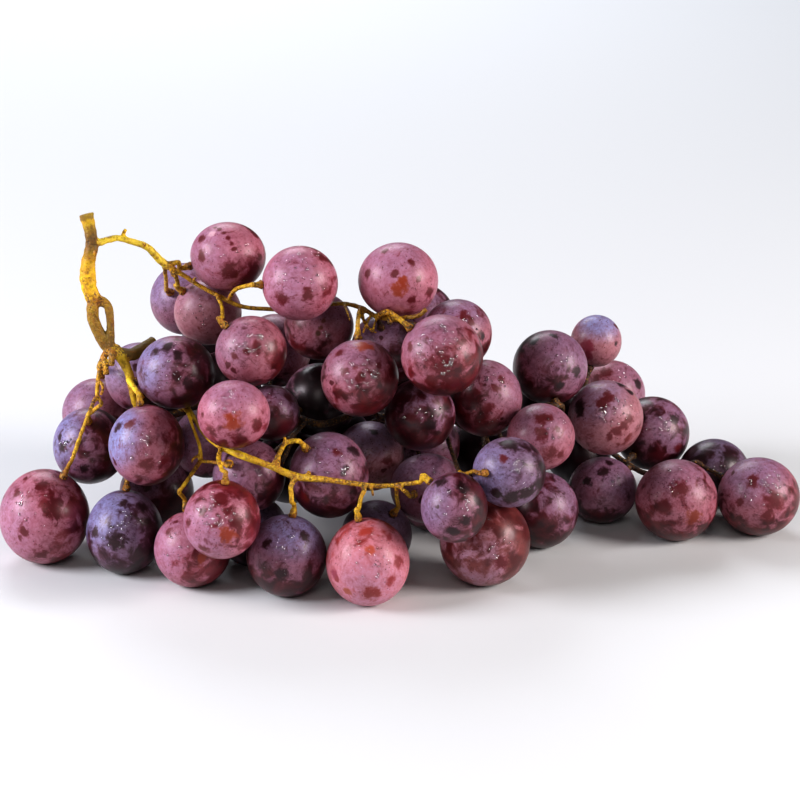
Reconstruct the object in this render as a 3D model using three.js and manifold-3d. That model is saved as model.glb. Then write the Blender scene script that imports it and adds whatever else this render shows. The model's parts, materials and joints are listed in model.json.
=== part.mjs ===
// A bunch of large red table grapes lying on its side: separate berries round one grown stalk.
// Millimetres, +Z up. +X runs from the cut end of the stalk to the tip of the bunch, -Y is the front.
// The origin is under the middle of the bunch, on the plane that it lies on.
import * as THREE from "three";
import { mergeVertices } from "three/addons/utils/BufferGeometryUtils.js";
import Module from "manifold-3d";

// The bunch was measured along lines of sight that look down on it from the front. A place is given
// by where its line of sight meets the measuring plane, u to the right and v downwards, both in steps
// of STEP_MM, and by its depth in millimetres behind that plane.
const STEP_MM = 0.32;
const SIGHT_DISTANCE = 800;
const SIGHT_DROP = THREE.MathUtils.degToRad(20);
const MIDDLE_STEP = 400;
const PLANE_HEIGHT = 59.6;

// Where berries touch each other, the stalk or the table, in millimetres.
const BERRY_GAP = 0.35;
const STALK_GAP = 0.55;
const PAD_GAP = 0.35;
const FLAT_SINK = 0.45;
const FACET_SWELL = 1.018;
const BERRY_DETAIL = 2;
const TABLE_SIDE = 600;
const TABLE_DEPTH = 20;
const ON_TABLE = "table";

// Each berry: u and v of its middle, width and height in steps, depth in millimetres, and its skin.
// A berry marked ON_TABLE lies on the table, which settles its depth.
const BERRIES = {
  t1: [228, 256.5, 76, 69, 26, "rose"],
  t2: [300, 283.5, 76, 75, 12, "rose"],
  t3: [398, 280.5, 80, 76, 22, "wine"],
  t4: [442, 355, 82, 82, 5, "wine"],
  t5: [457, 334, 70, 70, 29, "wine"],
  t6: [485, 398, 74, 77, 36, "wine"],
  t7: [251, 351, 72, 71, 5, "wine"],
  t7b: [275, 351, 72, 74, 51, "wine"],
  t8: [319, 326, 70, 68, 35, "wine"],
  t9a: [185, 299, 70, 72, 60, "wine"],
  t9b: [208, 312, 68, 66, 40, "wine"],
  t11: [360, 378, 78, 78, 5, "wine"],
  d1: [388, 348, 74, 74, 29, "plum"],
  d2: [420, 319, 72, 72, 48, "plum"],
  d3: [140, 377, 70, 70, 32, "plum"],
  l1: [176, 372.5, 79, 73, 12, "plum"],
  l2: [146.5, 445, 75, 82, 8, "plum"],
  l3: [98, 413, 71, 70, 56, "plum"],
  l4: [90, 446, 73, 77, 34, "plum"],
  l5: [45, 516.5, 90, 95, ON_TABLE, "rose"],
  f1: [124.5, 531.5, 77, 84, ON_TABLE, "plum"],
  f2: [192.5, 548.5, 77, 77, ON_TABLE, "rose"],
  f3: [222, 519.5, 77, 79, -13, "wine"],
  f4: [286.5, 555.5, 80, 82, ON_TABLE, "plum"],
  f5: [367.5, 562, 84, 89, ON_TABLE, "rose"],
  f6: [454.5, 507.5, 67, 71, -13, "plum"],
  f7: [485, 541, 91, 90, ON_TABLE, "wine"],
  m1: [420, 414.5, 71, 72, 21, "plum"],
  m2: [370, 456, 70, 70, 40, "plum"],
  m3: [329, 475, 80, 86, 5, "wine"],
  m4: [249, 476, 73, 73, 5, "wine"],
  m5: [233.5, 414.5, 73, 69, -7, "rose"],
  m6: [271, 413, 58, 56, 10, "plum"],
  m7: [427, 488, 74, 70, 28.5, "plum"],
  r1: [509, 472, 74, 71, 0, "plum"],
  r2: [541, 437, 68, 67, 22, "wine"],
  r3: [541, 510, 74, 77, ON_TABLE, "wine"],
  r4: [550, 367.5, 75, 75, 45, "wine"],
  r5: [596, 341, 51, 52, 65, "plum"],
  r6: [610, 394, 70, 68, 85, "wine"],
  r7: [605.5, 417.5, 75, 75, 48, "wine"],
  r8: [652, 433, 74, 74, 70, "wine"],
  r9: [602.5, 490, 69, 67, ON_TABLE, "plum"],
  r10: [676.5, 500, 83, 82, ON_TABLE, "wine"],
  r11: [714, 474, 72, 70, ON_TABLE, "wine"],
  r12: [758.5, 496.5, 82, 79, ON_TABLE, "wine"],
  x1: [426, 445, 68, 68, 51, "plum"],
  x2: [157, 491, 74, 74, ON_TABLE, "plum"],
  x4: [207, 443, 70, 70, 22, "plum"],
  x5: [252, 530, 72, 72, ON_TABLE, "plum"],
  x6: [376.5, 535, 71, 70, ON_TABLE, "plum"],
  x7: [431, 497, 67, 67, ON_TABLE, "plum"],
  x8: [578, 452, 66, 66, 78, "plum"],
  g1: [320, 400, 74, 74, 45, "wine"],
  g2: [480, 452, 72, 72, 68, "wine"],
  g3: [225, 387, 73, 73, 38, "plum"],
  g4: [290, 466, 74, 74, 50, "plum"],
  g5: [200, 440, 72, 72, 65, "wine"],
  g6: [370, 415, 74, 74, 68, "wine"],
};

const SKINS = {
  rose: { color: 0x9c4a5e, roughness: 0.42 },
  wine: { color: 0x6b2a3c, roughness: 0.42 },
  plum: { color: 0x43304e, roughness: 0.46 },
};
const STALK_LOOK = { color: 0xc79a2a, roughness: 0.6 };

// Stalk routes: u, v, depth, and thickness in steps at each point. A route with shows: true lies where
// it is seen, so it moves only along the lines of sight to clear the berries; the others bend round them.
const ROUTES = {
  peduncle: {
    points: [[86, 214, 6, 15], [90, 230, 7, 12], [92, 245, 8, 13], [88.5, 262, 9, 14], [88, 278, 10, 17],
      [90, 290, 11, 15], [95, 301, 12, 16]],
    shows: true,
  },
  left_strand: {
    points: [[93, 296, 11.5, 13], [93, 318, 12, 12], [98, 331, 13, 12], [106, 345, 14, 12],
      [118, 351, 15, 12]],
  },
  right_strand: {
    points: [[96, 299, 12, 12], [107, 305, 12, 9], [110, 318, 12.5, 8], [110.5, 332, 13, 8],
      [110, 345, 14, 10]],
  },
  rachis: {
    points: [[112, 348, 14, 12], [120, 356, 15, 12], [128, 371, 15, 9], [132, 386, 15, 8.5],
      [137, 405, 17, 8.5], [152, 418, 24, 8], [176, 414, 29, 8], [205, 404, 31, 8], [240, 402, 30, 8],
      [280, 410, 31, 7.5], [320, 424, 26, 7.5], [365, 412, 33, 7], [400, 424, 41, 7], [440, 415, 41, 7],
      [480, 432, 41, 7], [520, 413, 38, 6.5], [560, 405, 37, 6], [558, 425, 51, 6], [575, 433, 63, 6],
      [604, 447, 66, 6], [622, 460, 66, 5.5], [650, 474, 60, 5.5], [695, 462, 56, 5]],
  },
  stub: { points: [[113, 347, 14, 8], [112, 357, 12, 7], [112, 366, 12, 5]], shows: true },
  olive_arm: { points: [[116, 352, 15, 12], [130, 355, 17, 13], [142, 349, 20, 12], [154, 340, 23, 9]] },
  yellow_arm: { points: [[126, 376, 15, 7], [134, 387, 11, 5.5], [143, 398, 9, 5.5]], shows: true },
  left_lateral: {
    points: [[110, 349, 14, 9], [103, 358, 13, 6], [100, 369, 13, 5], [98, 380, 13, 4.5],
      [97, 396, 13, 4.5]],
  },
  shoulder: {
    points: [[92, 244, 8, 9], [104, 241, 9, 7], [118, 238, 11, 6.5], [130, 241, 13, 6.5], [147, 247, 16, 7],
      [158, 258, 19, 8], [166, 265, 21, 8], [180, 273, 22, 5], [200, 286, 23, 4.5], [217, 295, 23, 4.5],
      [240, 306, 23, 4.5], [268, 309, 24, 4.5], [300, 309, 24, 4.5], [333, 304, 22, 4.5],
      [347, 304, 19, 4.5], [362, 308, 17, 5], [380, 315, 14, 4.5], [405, 317.5, 11, 4.5],
      [420, 315, 9, 4.5], [426, 309, 8, 5]],
  },
  shoulder_spur: { points: [[121, 238, 12, 5], [126, 229, 12, 3.5]] },
  lower_lateral: {
    points: [[180, 404, 29, 6], [190, 411, 16, 4.5], [203, 433, 8, 4], [222, 448, -2, 5], [240, 455, -7, 8],
      [270, 466, -7, 6.5], [295, 476, -7, 8], [330, 480, -11, 6], [350, 483, -9, 5.5], [380, 486, -6, 5],
      [405, 484, -7, 4.5], [416, 483, -9, 4.5]],
    shows: true,
  },
  knob: { points: [[216, 460, -2, 4], [224, 464, -5, 4.5], [231, 465, -6, 8.5]], shows: true },
  thin_lateral: {
    points: [[181, 405, 27, 4], [188, 414, 14, 3.5], [194, 430, 8, 3.5], [200, 448, 6, 4],
      [200.5, 461, 6, 5]],
    shows: true,
  },
};

// Pedicels that show: the berry, where its pad sits on it in u and v, and the route to the pad.
const PEDICELS = [
  {
    berry: "l5",
    pad: [65, 477],
    points: [[97, 394, 13, 4.5], [87, 418, 11, 3.5], [78, 443, 10, 4.5], [72, 460, 14, 4]],
  },
  { berry: "l4", pad: [92, 422], points: [[97, 394, 13, 4.5], [101.5, 404, 13, 4]] },
  { berry: "l3", pad: [101, 378], points: [[101, 363, 13, 6], [99, 367, 26, 5], [100, 371, 44, 5]] },
  { berry: "t9a", pad: [174, 294], points: [[164, 263, 21, 5], [166, 279, 30, 4]] },
  { berry: "t9b", pad: [185, 293], points: [[174, 270, 22, 5], [178, 284, 26, 4.5]] },
  { berry: "t1", pad: [190, 266], points: [[166, 265, 21, 6], [178, 262, 21, 5]] },
  { berry: "t7", pad: [227, 327], points: [[217, 295, 23, 4.5], [222, 307, 17, 4], [222.5, 317, 11, 4]] },
  { berry: "t2", pad: [263, 285], points: [[228, 300, 23, 4.5], [235, 290, 20, 4.5], [246, 286, 15, 4.5]] },
  { berry: "t11", pad: [358, 338], points: [[360, 307, 17, 5], [358, 320, 13, 4.5]] },
  { berry: "t4", pad: [411, 329], points: [[382, 310, 14, 6], [395, 316, 10, 5.5], [402, 321, 8, 5.5]] },
  { berry: "f3", pad: [226, 483], points: [[222, 448, -2, 5], [218, 458, -8, 4], [222, 470, -14, 4.5]] },
  {
    berry: "m3",
    pad: [308, 449],
    points: [[277, 467, -7, 5], [280, 453, -8, 4.5], [287, 442, -8, 5], [298, 441, -8, 5.5]],
  },
  { berry: "f4", pad: [293, 516], points: [[295, 476, -7, 6], [291, 488, -8, 5], [292, 502, -8, 5]] },
  { berry: "f5", pad: [359, 520], points: [[367, 485, -8, 5], [361, 498, -9, 4.5], [359, 509, -9, 4.5]] },
  { berry: "x6", pad: [393, 513], points: [[396, 485, -7, 4.5], [397, 498, -2, 4]] },
  { berry: "m7", pad: [414, 493], points: [[398, 485, -7, 4.5], [405, 491, -8, 4.5]] },
  { berry: "f6", pad: [430, 482], points: [[412, 483, -9, 4.5], [421, 482, -14, 4.5]] },
  { berry: "f2", pad: [186, 508], points: [[200.5, 461, 6, 5], [189, 478, 4, 4], [179, 492, 4, 4.5]] },
  {
    berry: "f1",
    pad: [127, 490],
    points: [[137, 405, 17, 5], [126, 430, 22, 4.5], [124, 462, 25, 4.5], [127, 478, 22, 4.5]],
  },
  { berry: "l2", pad: [141, 405], points: [[133, 386, 15, 6], [136, 390, 13, 5]] },
  {
    berry: "r1",
    pad: [485, 472],
    points: [[440, 415, 41, 5], [452, 452, 22, 4.5], [463, 474, -3, 4.5], [474, 471, -10, 4.5]],
  },
];

const RING_SIDES = 5;
const THICK_SIDES = 7;
const THICK_MM = 1.1;
const FIRST_SIDE = new THREE.Vector3(0.31, 0.17, 0.93);

// A pad's width in steps, the length of the neck behind it in millimetres, and the widths of the neck
// and of the swell between them as shares of the pad's, with the swell's place along the neck.
const PAD_STEPS = 9.5;
const PAD_NECK = 3.2;
const NECK_SHARE = 0.48;
const SWELL_SHARE = 0.9;
const SWELL_PLACE = 0.4;

// Hidden pedicels ease towards straight by this share in each round. They grow from the rachis and from
// the stretch of the shoulder between two of its points, counted from its start and its end.
const HIDDEN_EASE = 0.25;
const SHOULDER_STRETCH = [30, -6];

const ROUTE_SPACING = 2.2;
const ROUTE_SLACK = 0.35;
const LEAST_STALK_HEIGHT = 1.5;

const right = new THREE.Vector3(1, 0, 0);
const forward = new THREE.Vector3(0, Math.cos(SIGHT_DROP), -Math.sin(SIGHT_DROP));
const up = new THREE.Vector3(0, Math.sin(SIGHT_DROP), Math.cos(SIGHT_DROP));

// Millimetres that one step covers at a depth.
function stepAt(depth) {
  return (STEP_MM * (SIGHT_DISTANCE + depth)) / SIGHT_DISTANCE;
}

// The point at u, v and depth.
function place(u, v, depth) {
  return new THREE.Vector3(0, 0, PLANE_HEIGHT)
    .addScaledVector(forward, depth)
    .addScaledVector(right, (u - MIDDLE_STEP) * stepAt(depth))
    .addScaledVector(up, (MIDDLE_STEP - v) * stepAt(depth));
}

class Berry {
  constructor(name, [u, v, width, height, depth, skin]) {
    Object.assign(this, { name, u, v, width, height, skin });
    this.onTable = depth === ON_TABLE;
    this.wanted = this.onTable ? this.tableDepth() : depth;
    this.moveTo(this.wanted);
  }

  moveTo(depth) {
    this.depth = depth;
    this.middle = place(this.u, this.v, depth);
    const step = stepAt(depth);
    const thickness = (this.width + this.height) / 2;
    this.half = new THREE.Vector3(this.width, thickness, this.height).multiplyScalar(step / 2);
  }

  // Half of the berry's height above the table, whose plane the sight lines cross at a slant.
  rise() {
    return Math.hypot(this.half.y * Math.sin(SIGHT_DROP), this.half.z * Math.cos(SIGHT_DROP));
  }

  // The depth at which the berry's flat spot lies on the table.
  tableDepth() {
    let [near, far] = [-100, 200];
    while (far - near > 0.001) {
      this.moveTo((near + far) / 2);
      if (this.middle.z > this.rise() - FLAT_SINK) near = this.depth;
      else far = this.depth;
    }
    return near;
  }

  // The radius of the berry in a direction.
  reach(direction) {
    const local = [right, forward, up].map((axis) => axis.dot(direction));
    const half = this.half.toArray();
    return 1 / Math.hypot(...local.map((part, i) => part / half[i]));
  }

  // The direction from the berry's middle to the side that shows at u and v.
  facing(u, v) {
    const across = ((u - this.u) * 2) / this.width;
    const rise = ((this.v - v) * 2) / this.height;
    const outline = Math.max(Math.hypot(across, rise), 1e-6);
    const towards = outline < 1 ? Math.sqrt(1 - outline * outline) : 0;
    return new THREE.Vector3()
      .addScaledVector(right, (across / Math.max(outline, 1)) * this.half.x)
      .addScaledVector(up, (rise / Math.max(outline, 1)) * this.half.z)
      .addScaledVector(forward, -towards * this.half.y)
      .normalize();
  }

  geometry() {
    const geometry = new THREE.IcosahedronGeometry(1, BERRY_DETAIL);
    geometry.scale(...this.half.clone().multiplyScalar(FACET_SWELL).toArray());
    geometry.applyMatrix4(new THREE.Matrix4().makeBasis(right, forward, up));
    geometry.translate(...this.middle.toArray());
    return geometry;
  }
}

const berries = Object.entries(BERRIES).map(([name, values]) => new Berry(name, values));
const berryNamed = Object.fromEntries(berries.map((berry) => [berry.name, berry]));

// A route as evenly spaced points on a smooth curve, each with its radius.
function smoothRoute(points) {
  const places = points.map(([u, v, depth]) => place(u, v, depth));
  const curve = new THREE.CatmullRomCurve3(places, false, "centripetal");
  const radii = points.map(([, , depth, steps]) => (steps * stepAt(depth)) / 2);
  const count = Math.max(2, Math.round(curve.getLength() / ROUTE_SPACING));
  return Array.from({ length: count + 1 }, (_, i) => {
    const t = curve.getUtoTmapping(i / count);
    const along = t * (points.length - 1);
    const before = Math.min(Math.floor(along), points.length - 2);
    const radius = THREE.MathUtils.lerp(radii[before], radii[before + 1], along - before);
    return { at: curve.getPoint(t), radius };
  });
}

// Berries that would run into each other, or into the main stem, slide apart along their sight lines.
function settle(stems) {
  const rounds = 600;
  const pull = 0.02;
  const allowed = FACET_SWELL;
  for (let round = 0; round < rounds; round++) {
    for (const berry of berries) {
      if (!berry.onTable) berry.moveTo(berry.depth + (berry.wanted - berry.depth) * pull);
    }
    for (let i = 0; i < berries.length; i++) {
      for (let j = i + 1; j < berries.length; j++) {
        const [a, b] = [berries[i], berries[j]];
        const line = b.middle.clone().sub(a.middle);
        const apart = line.length();
        line.normalize();
        const need = (a.reach(line) + b.reach(line)) * allowed + BERRY_GAP;
        if (apart >= need) continue;
        const along = b.depth - a.depth;
        const aside = Math.sqrt(Math.max(apart * apart - along * along, 0));
        const wanted = Math.sqrt(Math.max(need * need - aside * aside, 0));
        const shift = (wanted - Math.abs(along)) * (along < 0 ? -1 : 1);
        const shares = a.onTable ? [0, b.onTable ? 0 : 1] : [b.onTable ? 1 : 0.5, b.onTable ? 0 : 0.5];
        a.moveTo(a.depth - shift * shares[0]);
        b.moveTo(b.depth + shift * shares[1]);
      }
    }
    for (const berry of berries.filter(({ onTable }) => !onTable)) {
      for (const { at, radius } of stems) {
        const line = berry.middle.clone().sub(at);
        const need = berry.reach(line.clone().normalize()) * allowed + radius + STALK_GAP;
        const apart = line.length();
        if (apart >= need) continue;
        const along = line.dot(forward);
        const aside = Math.sqrt(Math.max(apart * apart - along * along, 0));
        const wanted = Math.sqrt(Math.max(need * need - aside * aside, 0));
        berry.moveTo(berry.depth + (wanted - Math.abs(along)) * (along < 0 ? -1 : 1));
      }
    }
  }
}

// The depth of overlap between a stalk point and a berry, and the way out.
function clash(point, berry) {
  const line = point.at.clone().sub(berry.middle);
  const apart = line.length();
  line.normalize();
  return { line, depth: berry.reach(line) * FACET_SWELL + point.radius + STALK_GAP - apart };
}

// Bends a route clear of the berries. Its two ends stay. A route that shows only moves along the lines
// of sight, and one that doesn't is eased towards the straight line as it bends.
function bendClear(route, { shows = false, ease = 0 } = {}) {
  const rounds = 240;
  const quiet = 40;
  for (let round = 0; round < rounds; round++) {
    if (round < rounds - quiet && ease) {
      const middles = route.map(({ at }, i) =>
        i && i < route.length - 1
          ? route[i - 1].at.clone().add(route[i + 1].at).multiplyScalar(0.5)
          : at.clone());
      route.forEach(({ at }, i) => at.lerp(middles[i], ease));
    }
    for (const point of route.slice(1, -1)) {
      for (const berry of berries) {
        const { line, depth } = clash(point, berry);
        if (depth <= 0) continue;
        if (shows) point.at.addScaledVector(forward, depth * Math.sign(line.dot(forward)));
        else point.at.addScaledVector(line, depth);
      }
      point.at.z = Math.max(point.at.z, point.radius + LEAST_STALK_HEIGHT);
    }
  }
  return route;
}

// Moves the start of a route to the nearest point of the stems that it may grow from.
function rooted(route, stems) {
  const gap = ({ at }) => at.distanceTo(route[0].at);
  const root = stems.reduce((best, point) => (gap(point) < gap(best) ? point : best));
  return [{ at: root.at.clone(), radius: route[0].radius }, ...route.slice(1)];
}

// Leaves out the points that lie within ROUTE_SLACK of a straight run between the ones kept.
function thinned(route) {
  if (route.length < 3) return route;
  const [first, last] = [route[0], route[route.length - 1]];
  const run = new THREE.Line3(first.at, last.at);
  let [worst, most] = [0, ROUTE_SLACK];
  route.forEach((point, i) => {
    if (!i || i === route.length - 1) return;
    const t = run.closestPointToPointParameter(point.at, true);
    const off = run.at(t, new THREE.Vector3()).distanceTo(point.at);
    const swell = Math.abs(THREE.MathUtils.lerp(first.radius, last.radius, t) - point.radius);
    if (Math.max(off, swell) > most) [worst, most] = [i, Math.max(off, swell)];
  });
  if (!worst) return [first, last];
  return [...thinned(route.slice(0, worst + 1)).slice(0, -1), ...thinned(route.slice(worst))];
}

// A closed tube along a route, with a ring of corners round each point and a flat cap at each end.
function tube(route) {
  const thick = route[0].radius > THICK_MM;
  const sides = thick ? THICK_SIDES : RING_SIDES;
  const corners = [];
  const index = [];
  const tangents = route.map(({ at }, i) =>
    (route[i + 1] ?? route[i]).at.clone().sub((route[i - 1] ?? route[i]).at).normalize());
  let side = FIRST_SIDE.clone().cross(tangents[0]).normalize();
  route.forEach(({ at, radius }, i) => {
    side = side.clone().addScaledVector(tangents[i], -side.dot(tangents[i])).normalize();
    const other = tangents[i].clone().cross(side);
    for (let k = 0; k < sides; k++) {
      const turn = (2 * Math.PI * k) / sides;
      const corner = at.clone()
        .addScaledVector(side, radius * Math.cos(turn))
        .addScaledVector(other, radius * Math.sin(turn));
      corners.push(...corner.toArray());
    }
    if (!i) return;
    for (let k = 0; k < sides; k++) {
      const [a, b] = [(i - 1) * sides + k, (i - 1) * sides + ((k + 1) % sides)];
      index.push(a, b, b + sides, a, b + sides, a + sides);
    }
  });
  const end = (route.length - 1) * sides;
  for (let k = 1; k < sides - 1; k++) index.push(0, k + 1, k, end, end + k, end + k + 1);
  const geometry = new THREE.BufferGeometry();
  geometry.setAttribute("position", new THREE.Float32BufferAttribute(corners, 3));
  geometry.setIndex(index);
  return geometry;
}

// The end of a pedicel: a neck and a swollen pad that faces the berry squarely.
function padEnd(berry, direction) {
  const surface = berry.reach(direction) * FACET_SWELL + PAD_GAP;
  const pad = (PAD_STEPS * stepAt(berry.depth)) / 2;
  const spot = (distance, radius) => {
    const at = berry.middle.clone().addScaledVector(direction, distance);
    return { at, radius };
  };
  const neck = spot(surface + PAD_NECK, pad * NECK_SHARE);
  const swell = spot(surface + PAD_NECK * SWELL_PLACE, pad * SWELL_SHARE);
  return [neck, swell, spot(surface, pad)];
}

function shownPedicel({ berry, pad, points }, stems) {
  const target = berryNamed[berry];
  const [neck, ...swell] = padEnd(target, target.facing(...pad));
  const start = rooted(smoothRoute(points), stems);
  const joined = [...start, ...between(start[start.length - 1], neck), neck];
  return thinned([...bendClear(joined, { shows: true }), ...swell]);
}

// Points at even spacing between two points, without the two themselves.
function between(from, to) {
  const count = Math.round(from.at.distanceTo(to.at) / ROUTE_SPACING);
  return Array.from({ length: Math.max(count - 1, 0) }, (_, i) => {
    const t = (i + 1) / count;
    return { at: from.at.clone().lerp(to.at, t), radius: THREE.MathUtils.lerp(from.radius, to.radius, t) };
  });
}

// A pedicel inside the bunch, from the nearest point of the main stem to the berry's side that faces it.
function hiddenPedicel(berry, stems) {
  const gap = ({ at }) => at.distanceTo(berry.middle);
  const root = stems.reduce((best, point) => (gap(point) < gap(best) ? point : best));
  const direction = root.at.clone().sub(berry.middle).normalize();
  const [neck, ...swell] = padEnd(berry, direction);
  const start = { at: root.at.clone(), radius: neck.radius };
  if (start.at.distanceTo(neck.at) < PAD_NECK) return [start, ...swell];
  return thinned([...bendClear([start, ...between(start, neck), neck], { ease: HIDDEN_EASE }), ...swell]);
}

const wasm = await Module();
wasm.setup();

function solidOf(geometry) {
  const bare = geometry.clone();
  bare.deleteAttribute("normal");
  bare.deleteAttribute("uv");
  const merged = mergeVertices(bare, 1e-4);
  const mesh = new wasm.Mesh({
    numProp: 3,
    vertProperties: new Float32Array(merged.attributes.position.array),
    triVerts: new Uint32Array(merged.index.array),
  });
  return new wasm.Manifold(mesh);
}

function geometryOf(solid) {
  const mesh = solid.getMesh();
  const geometry = new THREE.BufferGeometry();
  geometry.setAttribute("position", new THREE.BufferAttribute(mesh.vertProperties, 3));
  geometry.setIndex(new THREE.BufferAttribute(mesh.triVerts, 1));
  return geometry;
}

// The table's plane cuts a small flat spot on each berry that lies on it.
function cutFlat(geometry) {
  const table = new THREE.BoxGeometry(TABLE_SIDE, TABLE_SIDE, TABLE_DEPTH);
  table.translate(0, 0, -TABLE_DEPTH / 2);
  return geometryOf(solidOf(geometry).subtract(solidOf(table)));
}

function stalkGeometry() {
  settle(smoothRoute(ROUTES.rachis.points));
  const drawn = {};
  for (const [name, { points, shows }] of Object.entries(ROUTES)) {
    const route = smoothRoute(points);
    const stems = Object.values(drawn).flat();
    drawn[name] = bendClear(stems.length ? rooted(route, stems) : route, { shows });
  }
  const stems = Object.values(drawn).flat();
  const shown = PEDICELS.map((pedicel) => shownPedicel(pedicel, stems));
  const named = new Set(PEDICELS.map(({ berry }) => berry));
  const inside = [...drawn.rachis, ...drawn.shoulder.slice(...SHOULDER_STRETCH)];
  const others = berries.filter(({ name }) => !named.has(name));
  const hidden = others.map((berry) => hiddenPedicel(berry, inside));
  const tubes = [...Object.values(drawn).map(thinned), ...shown, ...hidden];
  const joined = tubes.map((route) => solidOf(tube(route))).reduce((whole, piece) => whole.add(piece));
  const bodies = joined.decompose().sort((a, b) => b.volume() - a.volume());
  return geometryOf(bodies[0]);
}

function mesh(name, geometry, look) {
  geometry.computeVertexNormals();
  const made = new THREE.Mesh(geometry, new THREE.MeshStandardMaterial({ metalness: 0, ...look }));
  made.name = name;
  return made;
}

const bunch = new THREE.Group();
bunch.add(mesh("stalk", stalkGeometry(), STALK_LOOK));
berries.forEach((berry) => {
  const geometry = berry.onTable ? cutFlat(berry.geometry()) : berry.geometry();
  bunch.add(mesh(`berry_${berry.name}`, geometry, SKINS[berry.skin]));
});

// The bunch is centred over the origin.
const box = new THREE.Box3().setFromObject(bunch);
const centre = box.getCenter(new THREE.Vector3());
bunch.position.set(-centre.x, -centre.y, -box.min.z);

export default bunch;
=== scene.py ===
"""A bunch of large red table grapes lying on its side: bloomed berries, a golden stalk and dew."""
import json
import math

import bpy
import numpy as np
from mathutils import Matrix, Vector, kdtree


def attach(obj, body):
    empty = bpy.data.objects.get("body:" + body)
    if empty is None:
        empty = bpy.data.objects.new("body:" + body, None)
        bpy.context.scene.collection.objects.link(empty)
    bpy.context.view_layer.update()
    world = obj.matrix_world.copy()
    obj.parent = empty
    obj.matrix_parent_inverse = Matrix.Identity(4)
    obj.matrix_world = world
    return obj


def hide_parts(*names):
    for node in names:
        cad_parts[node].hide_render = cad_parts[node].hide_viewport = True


bl_info = {
    "name": "Bunch of grapes",
    "version": (1, 0, 0),
    "blender": (4, 5, 0),
    "location": "3D View > Sidebar > Grapes",
    "description": "Builds the berries, the stalk, the dew and the stage of a bunch of red grapes",
    "category": "Add Mesh",
}

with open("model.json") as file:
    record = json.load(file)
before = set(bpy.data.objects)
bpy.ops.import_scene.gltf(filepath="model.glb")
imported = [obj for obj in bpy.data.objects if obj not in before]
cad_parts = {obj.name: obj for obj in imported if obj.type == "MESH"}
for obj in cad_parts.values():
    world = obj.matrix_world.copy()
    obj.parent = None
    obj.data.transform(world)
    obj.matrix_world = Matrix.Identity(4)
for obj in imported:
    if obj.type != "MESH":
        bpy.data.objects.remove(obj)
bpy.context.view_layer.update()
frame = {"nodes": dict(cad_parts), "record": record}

# Millimetres are the working unit, as in the frame's own source, and MM turns them into metres.
MM = 0.001

# The sight frame of the bunch: u to the right and v downwards in steps, and a depth in millimetres.
STEP_MM = 0.32
SIGHT_DISTANCE = 800.0
SIGHT_DROP = math.radians(20)
MIDDLE_STEP = 400.0
SIGHT_CENTRE = np.array([-1.6945, -31.4293, 59.6])
RIGHT = np.array([1.0, 0.0, 0.0])
FORWARD = np.array([0.0, math.cos(SIGHT_DROP), -math.sin(SIGHT_DROP)])
UP = np.array([0.0, math.sin(SIGHT_DROP), math.cos(SIGHT_DROP)])
SIGHT_AXES = np.array([RIGHT, FORWARD, UP])
FRAME_STEPS = 800
SENSOR_MM = 36.0

# How the pieces fit the frame's faceted ones, in millimetres where it isn't a share or in steps.
FACET_SWELL = 1.018
BERRY_GAP = 0.2
STALK_GAP = 0.55
PAD_GAP = 0.35
PAD_STEPS = 9.5
PAD_NECK = 3.2
NECK_SHARE = 0.48
ROUTE_SPACING = 2.2
LEAST_STALK_HEIGHT = 1.5
LEAST_SKIN_HEIGHT = 0.02

# Bending the routes: how near a berry counts, the rounds, the last rounds without easing, and the easing
# of pedicels that don't show.
NEAR_BERRY = 12
BEND_ROUNDS = 240
QUIET_ROUNDS = 40
HIDDEN_EASE = 0.25

# Rings of a pedicel's pad: how far outside the skin each lies, and its share of the pad's half width.
PAD_RINGS = np.array([
    [PAD_NECK * 0.62, 0.66], [PAD_NECK * 0.34, 0.84], [0.55, 0.92], [0.15, 0.92], [-0.35, 0.7]])

# The stalk's relief: on a stem and on a pedicel, how far warts rise and how close they are, then the shallow
# flutes along both. WART_SHARE is the share of that rise that the noise takes, and the noise is a sum of
# waves whose pitch is drawn between two bounds.
STEM_WARTS = (0.13, 1.5)
PEDICEL_WARTS = (0.34, 2.6)
WART_SHARE = 0.6
FLUTES = 5
FLUTE_RISE = 0.035
FLUTE_TWIST = 0.08
RELIEF_WAVES = 9
RELIEF_PITCH = (0.5, 1.6)

# The stalk's tubes: the spacing of their rings where they show and where they don't, the half width from
# which a tube counts as thick, the sides of a thick one and a thin one, and the faces kept in the end.
SHOWN_SPACING = 0.5
HIDDEN_SPACING = 0.9
THICK_STEM = 1.1
THICK_SIDES = 16
THIN_SIDES = 12
STALK_SHARE = 0.7

# Directions that no tube starts along and that no berry's axis points in, to turn their rings from.
TUBE_ASIDE = np.array([0.31, 0.17, 0.93])
BERRY_ASIDE = np.array([0.2, 0.9, 0.35])

# A berry's form in shares of its radius: its lumps, of which each is a sum of a few waves, and the height
# and width in radians of the funnel at its stem end and of the pit and the dot at its blossom end.
LUMP_RISE = 0.0035
LUMP_WAVES = 5
LUMP_PITCH = 1.6
FUNNEL = (0.028, 0.17)
BLOSSOM_PIT = (0.010, 0.10)
BLOSSOM_DOT = (0.012, 0.035)

# A dew drop in shares of its half width: its crown, its foot, and how deep the foot is sunk in the skin.
# Then the smallest drop of a group as a share of the largest, and how few are large.
DROP_CROWN = 0.8
DROP_FOOT = 0.9
DROP_SUNK = -0.3
SMALLEST_DROP = 0.35
DROP_SPREAD = 2.2

# The millimetres that one unit of the skins' pattern takes, and how far on it starts from berry to berry.
SKIN_PATTERN = 10
SKIN_SHIFT = np.array([3.7, 1.9, 5.3])

# The first seeds of the stalk's relief and of the dew, and half the floor's width in millimetres.
FIRST_STALK_SEED = 100
FIRST_DEW_SEED = 500
FLOOR_HALF = 4000

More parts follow.
